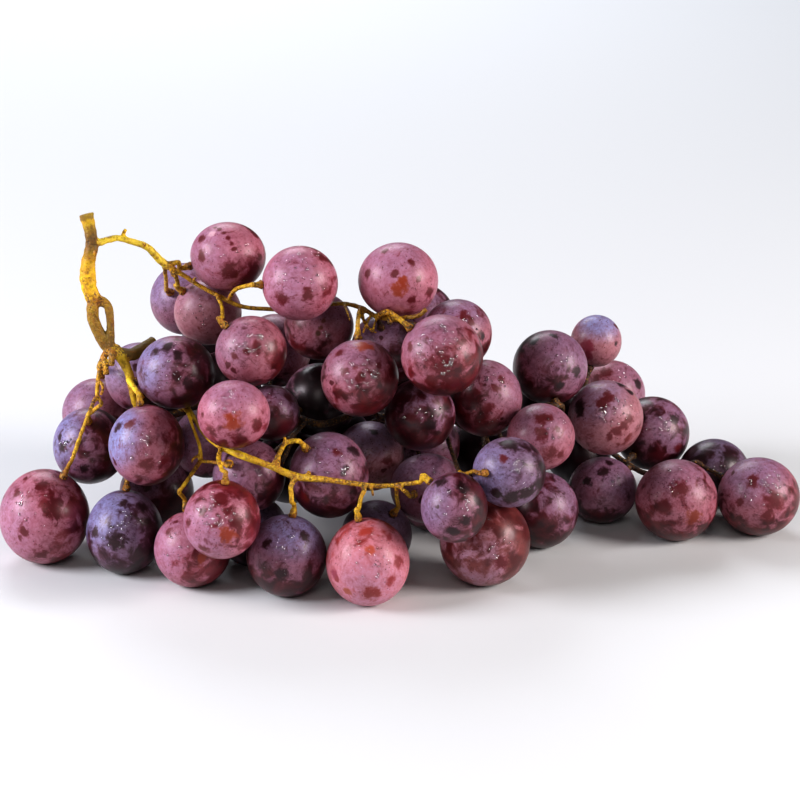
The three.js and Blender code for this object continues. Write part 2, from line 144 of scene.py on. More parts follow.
# Colours are 0 to 255 screen values. They are mixed as such, and made linear just before the shader.
SCREEN_GAMMA = 2.2

# A gamma a little below one, which deepens the shadows between the berries.
SHADOW_GAMMA = 0.9

# Looks of a skin: the flesh at its deepest and its lightest, and the bloom.
SKINS = {
    "pink": ((80, 16, 22), (118, 38, 46), (186, 120, 140)),
    "salmon": ((116, 32, 28), (166, 62, 60), (208, 136, 152)),
    "wine": ((56, 9, 13), (98, 25, 30), (168, 108, 124)),
    "mauve": ((74, 24, 24), (112, 50, 48), (176, 120, 132)),
    "plum": ((40, 7, 12), (78, 23, 30), (152, 104, 126)),
    "blue": ((30, 7, 13), (58, 24, 34), (138, 112, 142)),
    "ink": ((24, 6, 10), (46, 17, 24), (112, 86, 106)),
    # The inner berries' skin is painted shade: near-black flesh that faces the front, with its bloom laid
    # behind.
    "deep": ((16, 4, 7), (30, 9, 14), (156, 108, 130)),
}
# A pale blue that the bloom takes on its thickest side: partly the bloom's frosty cast, partly painted cool
# light.
FROST_AND_COOL_LIGHT = (142, 150, 206)
SPECK = (40, 7, 12)
RUST = (136, 46, 18)
BRUISE = (86, 18, 24)
BLOT = (32, 7, 13)
# A pale pink spot on t1's fissure: partly a scar, partly a painted highlight on the fissure's edge.
SCAR_AND_HIGHLIGHT = (214, 168, 180)

# Each berry's skin, how much of it the bloom covers, the share of it that is rubbed into spots, and the
# side that the bloom lies thickest on, to the right and upwards. For most berries that side is their lit
# side, so the paler bloom there is partly painted light.
BERRY_LOOKS = {
    "t1": ("pink", 0.72, 0.10, (-0.7, 0.2)),
    "t2": ("pink", 0.70, 0.05, (-0.2, 0.1)),
    "t3": ("pink", 0.92, 0.04, (-0.1, 0.5)),
    "t4": ("wine", 0.46, 0.12, (-0.4, 0.8)),
    "t5": ("wine", 0.52, 0.15, (0.0, 0.7)),
    "t6": ("wine", 0.40, 0.20, (0.5, 0.4)),
    "t7": ("wine", 0.66, 0.08, (-0.7, 0.3)),
    "t7b": ("wine", 0.55, 0.10, (0.3, 0.4)),
    "t8": ("wine", 0.62, 0.10, (0.3, 0.8)),
    "t9a": ("plum", 0.95, 0.05, (-0.5, 0.5)),
    "t9b": ("mauve", 1.05, 0.12, (-0.3, 0.8)),
    "t11": ("wine", 0.50, 0.25, (-0.2, 0.7)),
    "d1": ("plum", 0.35, 0.10, (0.0, 0.4)),
    "d2": ("plum", 0.35, 0.10, (0.0, 0.6)),
    "d3": ("plum", 0.70, 0.10, (-0.6, 0.5)),
    "l1": ("plum", 0.46, 0.06, (-0.9, 0.3)),
    "l2": ("wine", 0.72, 0.12, (-0.9, 0.3)),
    "l3": ("wine", 0.62, 0.10, (-0.5, 0.3)),
    "l4": ("plum", 0.42, 0.15, (-0.9, 0.3)),
    "l5": ("pink", 0.58, 0.08, (-0.9, -0.1)),
    "f1": ("blue", 0.42, 0.18, (-0.6, 0.5)),
    "f2": ("pink", 0.42, 0.06, (-0.8, 0.1)),
    "f3": ("pink", 0.50, 0.14, (-0.5, -0.3)),
    "f4": ("plum", 0.52, 0.10, (0.2, 0.8)),
    "f5": ("salmon", 0.60, 0.08, (0.1, -0.4)),
    "f6": ("plum", 0.46, 0.12, (-0.9, 0.2)),
    "f7": ("mauve", 0.10, 0.15, (-0.2, -0.3)),
    "m1": ("plum", 0.18, 0.15, (0.3, 0.4)),
    "m2": ("mauve", 0.70, 0.12, (0.0, 0.7)),
    "m3": ("plum", 0.60, 0.08, (-0.2, 0.6)),
    "m4": ("plum", 0.70, 0.08, (-0.8, 0.2)),
    "m5": ("pink", 0.72, 0.08, (0.0, 0.8)),
    "m6": ("plum", 0.24, 0.12, (0.5, 0.6)),
    "m7": ("plum", 1.00, 0.12, (-0.3, 0.8)),
    "r1": ("blue", 0.66, 0.10, (-0.7, 0.0)),
    "r2": ("wine", 0.80, 0.08, (0.0, 0.4)),
    "r3": ("plum", 0.14, 0.20, (0.6, 0.5)),
    "r4": ("plum", 0.46, 0.14, (0.5, 0.4)),
    "r5": ("mauve", 1.15, 0.05, (0.1, 0.8)),
    "r6": ("wine", 0.80, 0.16, (0.7, 0.3)),
    "r7": ("mauve", 0.92, 0.16, (-0.3, 0.6)),
    "r8": ("plum", 0.20, 0.14, (0.4, 0.3)),
    "r9": ("plum", 0.66, 0.14, (0.3, 0.5)),
    "r10": ("wine", 0.50, 0.12, (0.0, 0.9)),
    "r11": ("ink", 0.24, 0.10, (0.0, 0.8)),
    "r12": ("wine", 0.52, 0.14, (-0.2, 0.7)),
    "x1": ("plum", 0.40, 0.10, (0.0, 0.4)),
    "x2": ("plum", 0.30, 0.10, (-0.2, 0.5)),
    "x4": ("plum", 0.75, 0.10, (-0.3, 0.4)),
    "x5": ("ink", 0.50, 0.10, (0.0, 0.4)),
    "x6": ("ink", 1.00, 0.10, (0.0, 0.6)),
    "x7": ("plum", 0.60, 0.10, (0.0, 0.4)),
    # x8 wears the same painted shade skin as the inner berries.
    "x8": ("deep", 0.62, 0.06, (0.2, 0.2)),
}

# The look of the berries inside the bunch, of which g1 to g6 are in the frame: painted shade, near black
# # from the front.
INNER_SHADE_LOOK = ("deep", 0.62, 0.06, (0.0, 0.2))
BERRY_LOOKS.update({f"g{number}": INNER_SHADE_LOOK for number in range(1, 7)})

# How much the bloom is tinted pale blue on its thickest side: painted cool light.
COOL_LIGHT_TINT = {
    "l1": 0.7, "l2": 1.0, "l4": 0.8, "l3": 0.4, "f1": 0.7, "f4": 0.7, "r5": 0.9, "r7": 0.4, "r1": 0.4,
    "t9a": 0.5, "t5": 0.4, "m2": 0.5, "d3": 0.5, "r12": 0.4, "f6": 0.4,
}
USUAL_COOL_LIGHT_TINT = 0.22

# Berries far inside the bunch, which close the gaps that show dark and wear the near-black skin of painted
# # shade: u and v of the middle and width in steps. Each lies at the first free depth behind the berries in
# # front of it.
INNER_BERRIES = {
    "i1": (546, 402, 58),
    "i2": (312, 368, 70),
    "i3": (172, 404, 66),
    "i4": (214, 344, 66),
    "i5": (276, 432, 66),
    "i6": (402, 386, 58),
    "i8": (345, 434, 50),
    "i9": (512, 498, 50),
}
INNER_DEPTHS = (40, 92)

# How far the thick side of the bloom leans out towards the front, so that the rims seen from the front
# are barer and darker: painted rim shade. Skins inside the bunch carry theirs behind.
RIM_SHADE_LEAN = -0.55
INNER_SHADE_LEAN = 1.2

# Marks on the skins, in groups of one colour: the colour, then u, v and half the width of each in steps.
MARKS = {
    "t1": [(BRUISE, (203, 240, 4), (216, 229, 2.4), (221, 231, 2.4), (226, 235, 2.4), (230, 240, 2.4),
        (234, 246, 2.4), (236, 251, 2.2)), (SCAR_AND_HIGHLIGHT, (213, 235, 4)), (BRUISE, (261, 258, 4), (232, 272, 8),
        (204, 258, 5))],
    "t2": [(BRUISE, (283, 300, 7), (309, 296, 6), (322, 258, 6))],
    "t3": [(RUST, (398, 291, 7), (402, 282, 4)), (BRUISE, (429, 294, 5), (411, 301, 4), (395, 276, 4),
        (385, 252, 3.5), (411, 265, 3.5), (368, 275, 4.5))],
    "t4": [(BRUISE, (410, 347, 4), (441, 367, 12), (452, 384, 8), (462, 341, 4), (430, 382, 7))],
    "t11": [(RUST, (363, 346.5, 6), (369, 347, 5)), (BRUISE, (340, 353, 4.5), (388, 384, 5), (362, 378, 5),
        (345, 372, 4), (379, 366, 3))],
    "t7": [(BRUISE, (259, 346, 4), (237, 357, 3), (250, 352, 4))],
    "m5": [(RUST, (235, 421.5, 7.5)), (BRUISE, (213, 432, 5), (259, 424, 6), (204, 414, 3), (222, 444, 5))],
    "m3": [(BLOT, (354, 450, 6)), (BRUISE, (338, 452, 4), (306, 497, 5))],
    "l2": [((38, 6, 18), (121, 426.5, 5.5)), (BRUISE, (133, 424, 5), (150, 464, 7), (168, 458, 5))],
    "l5": [(BRUISE, (30, 529, 4.5), (46, 484, 7), (22, 491, 4), (45, 553, 6), (65, 501, 4))],
    "l1": [(BLOT, (158, 352, 4), (180, 356, 5), (192, 384, 6)), ((48, 6, 14), (179, 376.5, 5.5)),
        (BLOT, (170, 348, 6))],
    "l4": [(BLOT, (66, 448, 4), (63, 437, 3), (88, 468, 5))],
    "f1": [(BLOT, (144, 505, 6), (120, 539, 8), (126, 502, 4), (98, 530, 5))],
    "f2": [(RUST, (205, 556, 6)), (BRUISE, (171, 531, 4))],
    "f3": [(RUST, (230, 534, 7.5)), (BRUISE, (205, 510, 4), (240, 520, 6), (222, 497, 7), (190, 522, 4),
        (206, 548, 5))],
    "f4": [(BLOT, (268, 541, 5), (305, 535, 5), (283, 572, 6))],
    "f5": [((176, 76, 56), (371, 547, 4)), ((128, 38, 34), (372, 592, 8)), ((150, 72, 50), (348, 589, 4)),
        ((124, 36, 40), (399, 560, 6)), ((132, 40, 42), (392, 578, 5)), ((160, 56, 46), (366, 529, 6)),
        ((146, 60, 78), (335, 572, 5)), ((140, 50, 54), (390, 536, 4))],
    "f6": [(BLOT, (440, 481, 6), (466, 520, 6), (462, 486, 6), (452, 530, 6), (478, 500, 5))],
    "f7": [(BRUISE, (470, 525, 6), (500, 560, 7), (510, 535, 5))],
    "r1": [(BLOT, (511, 444, 8), (502, 443, 5), (511, 497, 9), (496, 493, 6), (526, 492, 8), (541, 468, 7),
        (538, 482, 7)), (BRUISE, (501, 458, 4))],
    "r2": [(BRUISE, (539, 419, 5.5), (547, 417, 5), (540, 434, 6), (549, 454, 7), (559, 454, 4),
        (556, 429, 2.5))],
    "r5": [((130, 44, 60), (586, 347, 6)), ((110, 34, 50), (586, 356, 5)), (BLOT, (614, 344, 2.4))],
    "r6": [(BRUISE, (603, 373, 6), (594, 378, 4)), (BLOT, (636, 384, 5))],
    "r7": [(BLOT, (577, 406, 6), (578, 413, 5)), (BRUISE, (601, 402, 7), (606, 396, 5), (614, 431, 5),
        (621, 425, 4.5), (627, 419, 4), (607, 437, 4)), (BLOT, (621, 385, 5), (629, 392, 4))],
    "r8": [(BLOT, (671, 418, 5), (637, 417, 6)), (BRUISE, (675, 448, 4))],
    "r9": [(BLOT, (602, 471, 6), (607, 462, 4), (585, 480, 5))],
    "r10": [(BRUISE, (676, 488, 8)), ((112, 40, 20), (690, 516, 7)), (BRUISE, (660, 505, 6))],
    "r12": [(BRUISE, (748, 480, 6), (768, 499, 8), (762, 514, 6), (735, 500, 4))],
    "r4": [(BLOT, (552, 336, 4), (533, 342, 4), (575, 372, 5), (558, 386, 4))],
    "t6": [(BRUISE, (487, 408, 5), (474, 392, 4), (494, 388, 4), (500, 380, 4))],
    "m1": [(BRUISE, (410, 418, 4)), (BLOT, (430, 425, 5))],
    "m2": [(BLOT, (375, 432, 4)), (BRUISE, (388, 460, 5))],
    "t5": [(BRUISE, (463, 316, 5), (470, 322, 4)), (BLOT, (482, 336, 4))],
    "t8": [((70, 34, 18), (319, 334, 2.6)), ((88, 40, 26), (322, 329, 2.4)), ((96, 44, 34),
        (325, 322, 2.0))],
}

# Dew: u and v of the middle of a group of drops, its half width and the half width of its largest drop in
# steps, and how many drops it has.
DEW = {
    "t1": [(246, 251, 9, 0.9, 9), (215, 262, 14, 0.7, 8)],
    "t2": [(303, 268, 22, 0.9, 26), (316, 285, 10, 1.0, 6)],
    "t4": [(438, 348, 22, 1.1, 34), (449, 365, 12, 1.2, 8)],
    "t5": [(470, 322, 10, 1.2, 7)],
    "t6": [(493, 385, 12, 1.0, 14), (486, 410, 14, 0.8, 10)],
    "t7": [(258, 348, 13, 1.1, 26), (240, 344, 10, 0.8, 10)],
    "t7b": [(303, 340, 8, 0.9, 6)],
    "t8": [(329, 334, 5, 1.4, 5)],
    "t9b": [(198, 314, 16, 0.8, 12)],
    "t11": [(362, 374, 18, 1.1, 38), (378, 374, 8, 1.2, 8)],
    "m1": [(418, 412, 16, 0.9, 16), (436, 408, 4, 1.4, 3)],
    "m2": [(372, 450, 16, 0.8, 12)],
    "m3": [(343, 468, 6, 1.6, 6), (330, 462, 20, 0.8, 18)],
    "m4": [(262, 470, 6, 1.2, 6), (240, 468, 12, 0.7, 8)],
    "m5": [(232, 405, 16, 0.8, 18)],
    "m6": [(272, 405, 12, 0.8, 10)],
    "m7": [(424, 466, 12, 0.8, 8)],
    "l1": [(186, 362, 20, 0.9, 18), (160, 378, 12, 0.8, 8)],
    "l2": [(150, 438, 5, 1.4, 4), (150, 448, 20, 0.9, 16)],
    "l4": [(70, 441, 7, 1.2, 7), (84, 455, 16, 0.7, 9)],
    "l5": [(28, 497, 8, 1.3, 8), (40, 510, 22, 0.8, 14)],
    "f1": [(132, 520, 14, 1.0, 16), (122, 534, 16, 0.9, 12)],
    "f2": [(180, 545, 14, 0.9, 12)],
    "f3": [(220, 508, 20, 1.1, 36), (215, 524, 14, 0.9, 12)],
    "f4": [(294, 545, 16, 1.0, 18), (280, 560, 16, 0.8, 10)],
    "f5": [(360, 545, 20, 0.9, 22), (378, 568, 16, 0.8, 10)],
    "f6": [(452, 500, 16, 0.9, 20), (462, 512, 8, 0.9, 6)],
    "f7": [(498, 545, 14, 0.9, 12), (476, 520, 14, 0.8, 8)],
    "r1": [(519, 462, 8, 1.2, 12), (520, 478, 14, 0.8, 14)],
    "r2": [(552, 425, 14, 0.9, 14)],
    "r4": [(562, 359, 8, 0.9, 10)],
    "r6": [(620, 374, 12, 0.9, 14)],
    "r7": [(599, 412, 1, 2.6, 1), (612, 412, 14, 1.0, 20), (622, 407, 8, 0.9, 8)],
    "r8": [(662, 424, 8, 1.2, 12), (655, 432, 14, 0.8, 8)],
    "r9": [(608, 479, 10, 1.0, 8), (614, 486, 10, 0.7, 6)],
    "r10": [(672, 478, 14, 0.9, 14)],
    "r11": [(716, 462, 12, 0.9, 8)],
    "r12": [(768, 482, 12, 1.1, 22), (752, 492, 14, 0.9, 12)],
}

# Small dead spurs and side twigs of the stalk, in the same terms as its routes.
TWIGS = [
    [(200.5, 461, 5, 4), (210, 462, 2, 3.5), (219, 463, -3, 4)],
    [(368, 485, -8, 4), (372, 490, -8, 3), (373, 496, -8, 3)],
    [(309, 478, -8, 4.5), (309, 471, -8, 4)],
    [(196, 457, 6, 3.5), (193, 459, 5, 3), (192, 463, 4, 2.5)],
    [(361, 312, 16, 4), (366, 325, 14, 3), (373, 332, 12, 2.5)],
    [(366, 324, 14, 3), (363, 333, 12, 2.2)],
    [(370, 329, 13, 3), (377, 333, 12, 2)],
    [(384, 312, 13, 3), (389, 317, 11, 2.4), (392, 324, 9, 2)],
    [(344, 304, 19, 3), (347, 312, 15, 2.4), (350, 321, 12, 2)],
    [(93, 256, 8, 5), (96, 252, 6, 3)],
    [(98, 380, 13, 4), (103, 386, 11, 3.2), (101, 395, 10, 3.4)],
    [(171, 270, 20, 4), (173, 276, 17, 3.4)],
    [(146, 247, 14, 4), (144, 243, 13, 3)],
    [(192, 281, 21, 3.6), (196, 278, 19, 2.8)],
    [(286, 441, -9, 3.6), (284, 437, -10, 3)],
    [(104, 357, 12, 4), (106, 366, 12, 4.6), (106, 375, 12, 7)],
    [(224.5, 463, -5.2, 6), (226.5, 463.4, -5.6, 9.5), (229.5, 464, -6.2, 10.5), (232.5, 464.6, -6.6, 7.5)],
]

# The stalk's routes, as in the frame's source: u, v, depth, and thickness in steps at each point, and
# whether the route shows. A route starts from the nearest point of those before it.
ROUTES = {
    "peduncle": ([
        (86, 214, 6, 15), (90, 230, 7, 12), (92, 245, 8, 13), (88.5, 262, 9, 14), (88, 278, 10, 17),
        (90, 290, 11, 15), (95, 301, 12, 16)
    ], True),
    "left_strand": ([
        (93, 296, 11.5, 13), (93, 318, 12, 12), (98, 331, 13, 12), (106, 345, 14, 12), (118, 351, 15, 12)
    ], False),
    "right_strand": ([
        (96, 299, 12, 12), (107, 305, 12, 9), (110, 318, 12.5, 8), (110.5, 332, 13, 8), (110, 345, 14, 10)
    ], False),
    "rachis": ([
        (112, 348, 14, 12), (120, 356, 15, 12), (128, 371, 15, 9), (132, 386, 15, 8.5),
        (137, 405, 17, 8.5), (152, 418, 24, 8), (176, 414, 29, 8), (205, 404, 31, 8), (240, 402, 30, 8),
        (280, 410, 31, 7.5), (320, 424, 26, 7.5), (365, 412, 33, 7), (400, 424, 41, 7), (440, 415, 41, 7),
        (480, 432, 41, 7), (520, 413, 38, 6.5), (560, 405, 37, 6), (558, 425, 51, 6), (575, 433, 63, 6),
        (604, 447, 66, 6), (622, 460, 66, 5.5), (650, 474, 60, 5.5), (695, 462, 56, 5)
    ], False),
    "stub": ([(113, 347, 14, 8), (112, 357, 12, 7), (112, 366, 12, 5)], True),
    "olive_arm": ([(116, 352, 15, 12), (130, 355, 17, 13), (142, 349, 20, 12), (154, 340, 23, 9)], False),
    "yellow_arm": ([(126, 376, 15, 7), (134, 387, 11, 5.5), (143, 398, 9, 5.5)], True),
    "left_lateral": ([
        (110, 349, 14, 9), (103, 358, 13, 6), (100, 369, 13, 5), (98, 380, 13, 4.5), (97, 396, 13, 4.5)
    ], False),
    "shoulder": ([
        (92, 244, 8, 9), (104, 241, 9, 7), (118, 238, 11, 6.5), (130, 241, 13, 6.5), (147, 247, 16, 7),
        (158, 258, 19, 8), (166, 265, 21, 8), (180, 273, 22, 5), (200, 286, 23, 4.5), (217, 295, 23, 4.5),
        (240, 306, 23, 4.5), (268, 309, 24, 4.5), (300, 309, 24, 4.5), (333, 304, 22, 4.5),
        (347, 304, 19, 4.5), (362, 308, 17, 5), (380, 315, 14, 4.5), (405, 317.5, 11, 4.5),
        (420, 315, 9, 4.5), (426, 309, 8, 5)
    ], False),
    "shoulder_spur": ([(121, 238, 12, 5), (126, 229, 12, 3.5)], False),
    "lower_lateral": ([
        (180, 404, 29, 6), (190, 411, 16, 4.5), (203, 433, 8, 4), (222, 448, -2, 5), (240, 455, -7, 8),
        (270, 466, -7, 6.5), (295, 476, -7, 8), (330, 480, -11, 6), (350, 483, -9, 5.5), (380, 486, -6, 5),
        (405, 484, -7, 4.5), (416, 483, -9, 4.5)
    ], True),
    "knob": ([(216, 460, -2, 4), (224, 464, -5, 4.5), (231, 465, -6, 8.5)], True),
    "thin_lateral": ([
        (181, 405, 27, 4), (188, 414, 14, 3.5), (194, 430, 8, 3.5), (200, 448, 6, 4), (200.5, 461, 6, 5)
    ], True),
}

# Pedicels that show: the berry, where its pad sits on it in u and v, and the route to the pad.
PEDICELS = {
    "l5": ((65, 477), [(97, 394, 13, 4.5), (87, 418, 11, 3.5), (78, 443, 10, 4.5), (72, 460, 14, 4)]),
    "l4": ((92, 422), [(97, 394, 13, 4.5), (101.5, 404, 13, 4)]),
    "l3": ((101, 378), [(101, 363, 13, 6), (99, 367, 26, 5), (100, 371, 44, 5)]),
    "t9a": ((174, 294), [(164, 263, 21, 5), (166, 279, 30, 4)]),
    "t9b": ((185, 293), [(174, 270, 22, 5), (178, 284, 26, 4.5)]),
    "t1": ((190, 266), [(166, 265, 21, 6), (178, 262, 21, 5)]),
    "t7": ((227, 327), [(217, 295, 23, 4.5), (222, 307, 17, 4), (222.5, 317, 11, 4)]),
    "t2": ((263, 285), [(228, 300, 23, 4.5), (235, 290, 20, 4.5), (246, 286, 15, 4.5)]),
    "t11": ((358, 338), [(360, 307, 17, 5), (358, 320, 13, 4.5)]),
    "t4": ((411, 329), [(382, 310, 14, 6), (395, 316, 10, 5.5), (402, 321, 8, 5.5)]),
    "f3": ((226, 483), [(222, 448, -2, 5), (218, 458, -8, 4), (222, 470, -14, 4.5)]),
    "m3": ((308, 449), [(277, 467, -7, 5), (280, 453, -8, 4.5), (287, 442, -8, 5), (298, 441, -8, 5.5)]),
    "f4": ((293, 516), [(295, 476, -7, 6), (291, 488, -8, 5), (292, 502, -8, 5)]),
    "f5": ((359, 520), [(367, 485, -8, 5), (361, 498, -9, 4.5), (359, 509, -9, 4.5)]),
    "x6": ((393, 513), [(396, 485, -7, 4.5), (397, 498, -2, 4)]),
    "m7": ((414, 493), [(398, 485, -7, 4.5), (405, 491, -8, 4.5)]),
    "f6": ((430, 482), [(412, 483, -9, 4.5), (421, 482, -14, 4.5)]),
    "f2": ((186, 508), [(200.5, 461, 6, 5), (189, 478, 4, 4), (179, 492, 4, 4.5)]),
    "f1": ((127, 490), [(137, 405, 17, 5), (126, 430, 22, 4.5), (124, 462, 25, 4.5), (127, 478, 22, 4.5)]),
    "l2": ((141, 405), [(133, 386, 15, 6), (136, 390, 13, 5)]),
    "r1": ((485, 472), [(440, 415, 41, 5), (452, 452, 22, 4.5), (463, 474, -3, 4.5), (474, 471, -10, 4.5)]),
}


def step_at(depth):
    """Millimetres that one step covers at a depth."""
    return STEP_MM * (SIGHT_DISTANCE + np.asarray(depth, float)) / SIGHT_DISTANCE


def place(u, v, depth):
    """Points at u, v and depth, in millimetres, as rows."""
    u, v, depth = (np.atleast_1d(np.asarray(value, float))[:, None] for value in (u, v, depth))
    step = step_at(depth)
    return SIGHT_CENTRE + FORWARD * depth + RIGHT * (u - MIDDLE_STEP) * step + UP * (MIDDLE_STEP - v) * step


def unit(vectors):
    """Vectors made one long, along the last axis."""
    return vectors / np.linalg.norm(vectors, axis=-1, keepdims=True)


class BerryFit:
    """The egg form that a berry's faceted node was cut from.

    The node's corners lie on an ellipsoid whose axes are those of the sight frame. Its middle and its
    half widths come from the least squares fit of a x2 + b y2 + c z2 + d x + e y + f z = 1.
    """

    def __init__(self, name):
        self.name = name
        node = frame["nodes"]["berry_" + name]
        corners = np.zeros(len(node.data.vertices) * 3)
        node.data.vertices.foreach_get("co", corners)
        corners = corners.reshape(-1, 3) / MM
        corners = corners[corners[:, 2] > 0.5]
        start = corners.mean(0)
        local = (corners - start) @ SIGHT_AXES.T
        terms = np.c_[local**2, local]
        a = np.linalg.lstsq(terms, np.ones(len(terms)), rcond=None)[0]
        middle = -a[3:] / (2 * a[:3])
        size = 1 + (a[:3] * middle**2).sum()
        self.middle = start + middle @ SIGHT_AXES
        self.half = np.sqrt(size / a[:3]) / FACET_SWELL
        from_centre = (self.middle - SIGHT_CENTRE) @ SIGHT_AXES.T
        self.depth = from_centre[1]
        self.step = float(step_at(self.depth))
        self.u = MIDDLE_STEP + from_centre[0] / self.step
        self.v = MIDDLE_STEP - from_centre[2] / self.step

    def reach(self, directions):
        """The berry's radius in each direction."""
        return 1 / np.linalg.norm((directions @ SIGHT_AXES.T) / self.half, axis=-1)

    def facing(self, u, v):
        """The direction from the middle to the side that shows at u and v."""
        across = (u - self.u) * self.step / self.half[0]
        rise = (self.v - v) * self.step / self.half[2]
        outline = max(math.hypot(across, rise), 1e-6)
        towards = math.sqrt(1 - outline**2) if outline < 1 else 0.0
        local = np.array([across / max(outline, 1), -towards, rise / max(outline, 1)]) * self.half
        return unit(local @ SIGHT_AXES)


class InnerBerry(BerryFit):
    """A round berry at u and v, slid back along its line of sight until it is clear of the others."""

    def __init__(self, name, others, routes):
        self.name = name
        self.u, self.v, width = INNER_BERRIES[name]
        stems = np.vstack([at for _, at, _, _ in routes])
        thickness = np.hstack([radii for _, _, radii, _ in routes])
        for depth in range(*INNER_DEPTHS):
            self.depth, self.step = depth, float(step_at(depth))
            self.middle = place(self.u, self.v, depth)[0]
            self.half = np.full(3, width * self.step / 2)
            lines = np.array([other.middle - self.middle for other in others])
            apart = np.linalg.norm(lines, axis=1)
            need = [self.half[0] + other.reach(unit(line)[None])[0] for other, line in zip(others, lines)]
            clear = np.linalg.norm(stems - self.middle, axis=1) - self.half[0] - thickness > STALK_GAP
            if (apart > np.array(need) + BERRY_GAP).all() and clear.all() and self.middle[2] > self.half[0]:
                return
        raise ValueError(f"there is no free place for berry {name}")


def centripetal(points, t):
    """A centripetal Catmull-Rom curve through points, read at t from 0 to 1.

    Between two points it is the cubic whose end slopes come from the spacing of four neighbours, each
    spacing being the square root of the distance. The first and last points are mirrored outwards.
    """
    points = np.vstack([2 * points[0] - points[1], points, 2 * points[-1] - points[-2]])
    spans = len(points) - 3
    place_on = np.clip(np.asarray(t) * spans, 0, spans)
    index = np.minimum(place_on.astype(int), spans - 1)
    weight = (place_on - index)[:, None]
    p0, p1, p2, p3 = (points[index + k] for k in range(4))
    gaps = [np.sqrt(np.linalg.norm(b - a, axis=1))[:, None] for a, b in ((p0, p1), (p1, p2), (p2, p3))]
    d0, d1, d2 = (np.maximum(gap, 1e-4) for gap in gaps)
    slope1 = ((p1 - p0) / d0 - (p2 - p0) / (d0 + d1) + (p2 - p1) / d1) * d1
    slope2 = ((p2 - p1) / d1 - (p3 - p1) / (d1 + d2) + (p3 - p2) / d2) * d1
    square, cube = weight**2, weight**3
    return (p1 + slope1 * weight + (3 * (p2 - p1) - 2 * slope1 - slope2) * square
            + (2 * (p1 - p2) + slope1 + slope2) * cube)


def smooth_route(points):
    """A route as evenly spaced points on a smooth curve, and the radius at each."""
    table = np.array(points, float)
    at = place(table[:, 0], table[:, 1], table[:, 2])
    radii = table[:, 3] * step_at(table[:, 2]) / 2
    fine = np.linspace(0, 1, 201)
    curve = centripetal(at, fine)
    length = np.r_[0, np.cumsum(np.linalg.norm(np.diff(curve, axis=0), axis=1))]
    count = max(2, math.floor(length[-1] / ROUTE_SPACING + 0.5))
    t = np.interp(np.linspace(0, 1, count + 1), length / length[-1], fine)
    return centripetal(at, t), np.interp(t * (len(points) - 1), np.arange(len(points)), radii)


def bend_clear(route, berries, shows=False, ease=0.0):
    """Bends a route clear of the berries, as the frame does. Its ends stay.

    In each round, a point that is too near a berry moves straight out of it, or along the line of sight
    where the stem shows. With ease, each point first moves that share of the way to its neighbours' middle.
    """
    at, radii = route[0].copy(), route[1]
    near = [b for b in berries if np.linalg.norm(at - b.middle, axis=1).min() < b.half.max() + NEAR_BERRY]
    for turn in range(BEND_ROUNDS):
        if ease and turn < BEND_ROUNDS - QUIET_ROUNDS:
            middles = at.copy()
            middles[1:-1] = (at[:-2] + at[2:]) / 2
            at += (middles - at) * ease
        moved = False
        for berry in near:
            line = at[1:-1] - berry.middle
            apart = np.linalg.norm(line, axis=1)
            line /= apart[:, None]
            depth = berry.reach(line) * FACET_SWELL + radii[1:-1] + STALK_GAP - apart
            inside = depth > 0
            if not inside.any():
                continue
            moved = True
            push = line * depth[:, None]
            if shows:
                push = FORWARD * (depth * np.sign(line @ FORWARD))[:, None]
            at[1:-1][inside] += push[inside]
        at[1:-1, 2] = np.maximum(at[1:-1, 2], radii[1:-1] + LEAST_STALK_HEIGHT)
        if not moved and not ease:
            break
    return at, radii


def rooted(route, stems):
    """Moves the start of a route to the nearest point of the stems that it may grow from."""
    at = route[0].copy()
    at[0] = stems[np.linalg.norm(stems - at[0], axis=1).argmin()]
    return at, route[1]


def between(start, end, radii):
    """Points at even spacing between two points, without the two themselves, and their radii, which go
    evenly from the first to the second of two."""
    count = math.floor(np.linalg.norm(end - start) / ROUTE_SPACING + 0.5)
    t = (np.arange(1, max(count, 1)) / max(count, 1))[:, None]
    return start + (end - start) * t, radii[0] + (radii[1] - radii[0]) * t[:, 0]


def pad_end(berry, direction):
    """The neck of a pedicel that meets a berry squarely, below its swollen pad: its place and radius."""
    surface = berry.reach(direction) * FACET_SWELL + PAD_GAP
    pad = PAD_STEPS * berry.step / 2
    return berry.middle + direction * (surface + PAD_NECK), pad * NECK_SHARE


def hidden_pedicel(berry, inside, berries):
    """A pedicel from the nearest inner stem to a berry, bent clear of the others."""
    root = inside[np.linalg.norm(inside - berry.middle, axis=1).argmin()]
    neck, neck_radius = pad_end(berry, unit(root - berry.middle))
    if np.linalg.norm(neck - root) < PAD_NECK:
        return "to_" + berry.name, np.array([root, neck]), np.full(2, neck_radius), berry
    more = between(root, neck, (neck_radius, neck_radius))
    at, radii = np.vstack([root, more[0], neck]), np.full(len(more[0]) + 2, neck_radius)
    return "to_" + berry.name, *bend_clear((at, radii), berries, False, HIDDEN_EASE), berry


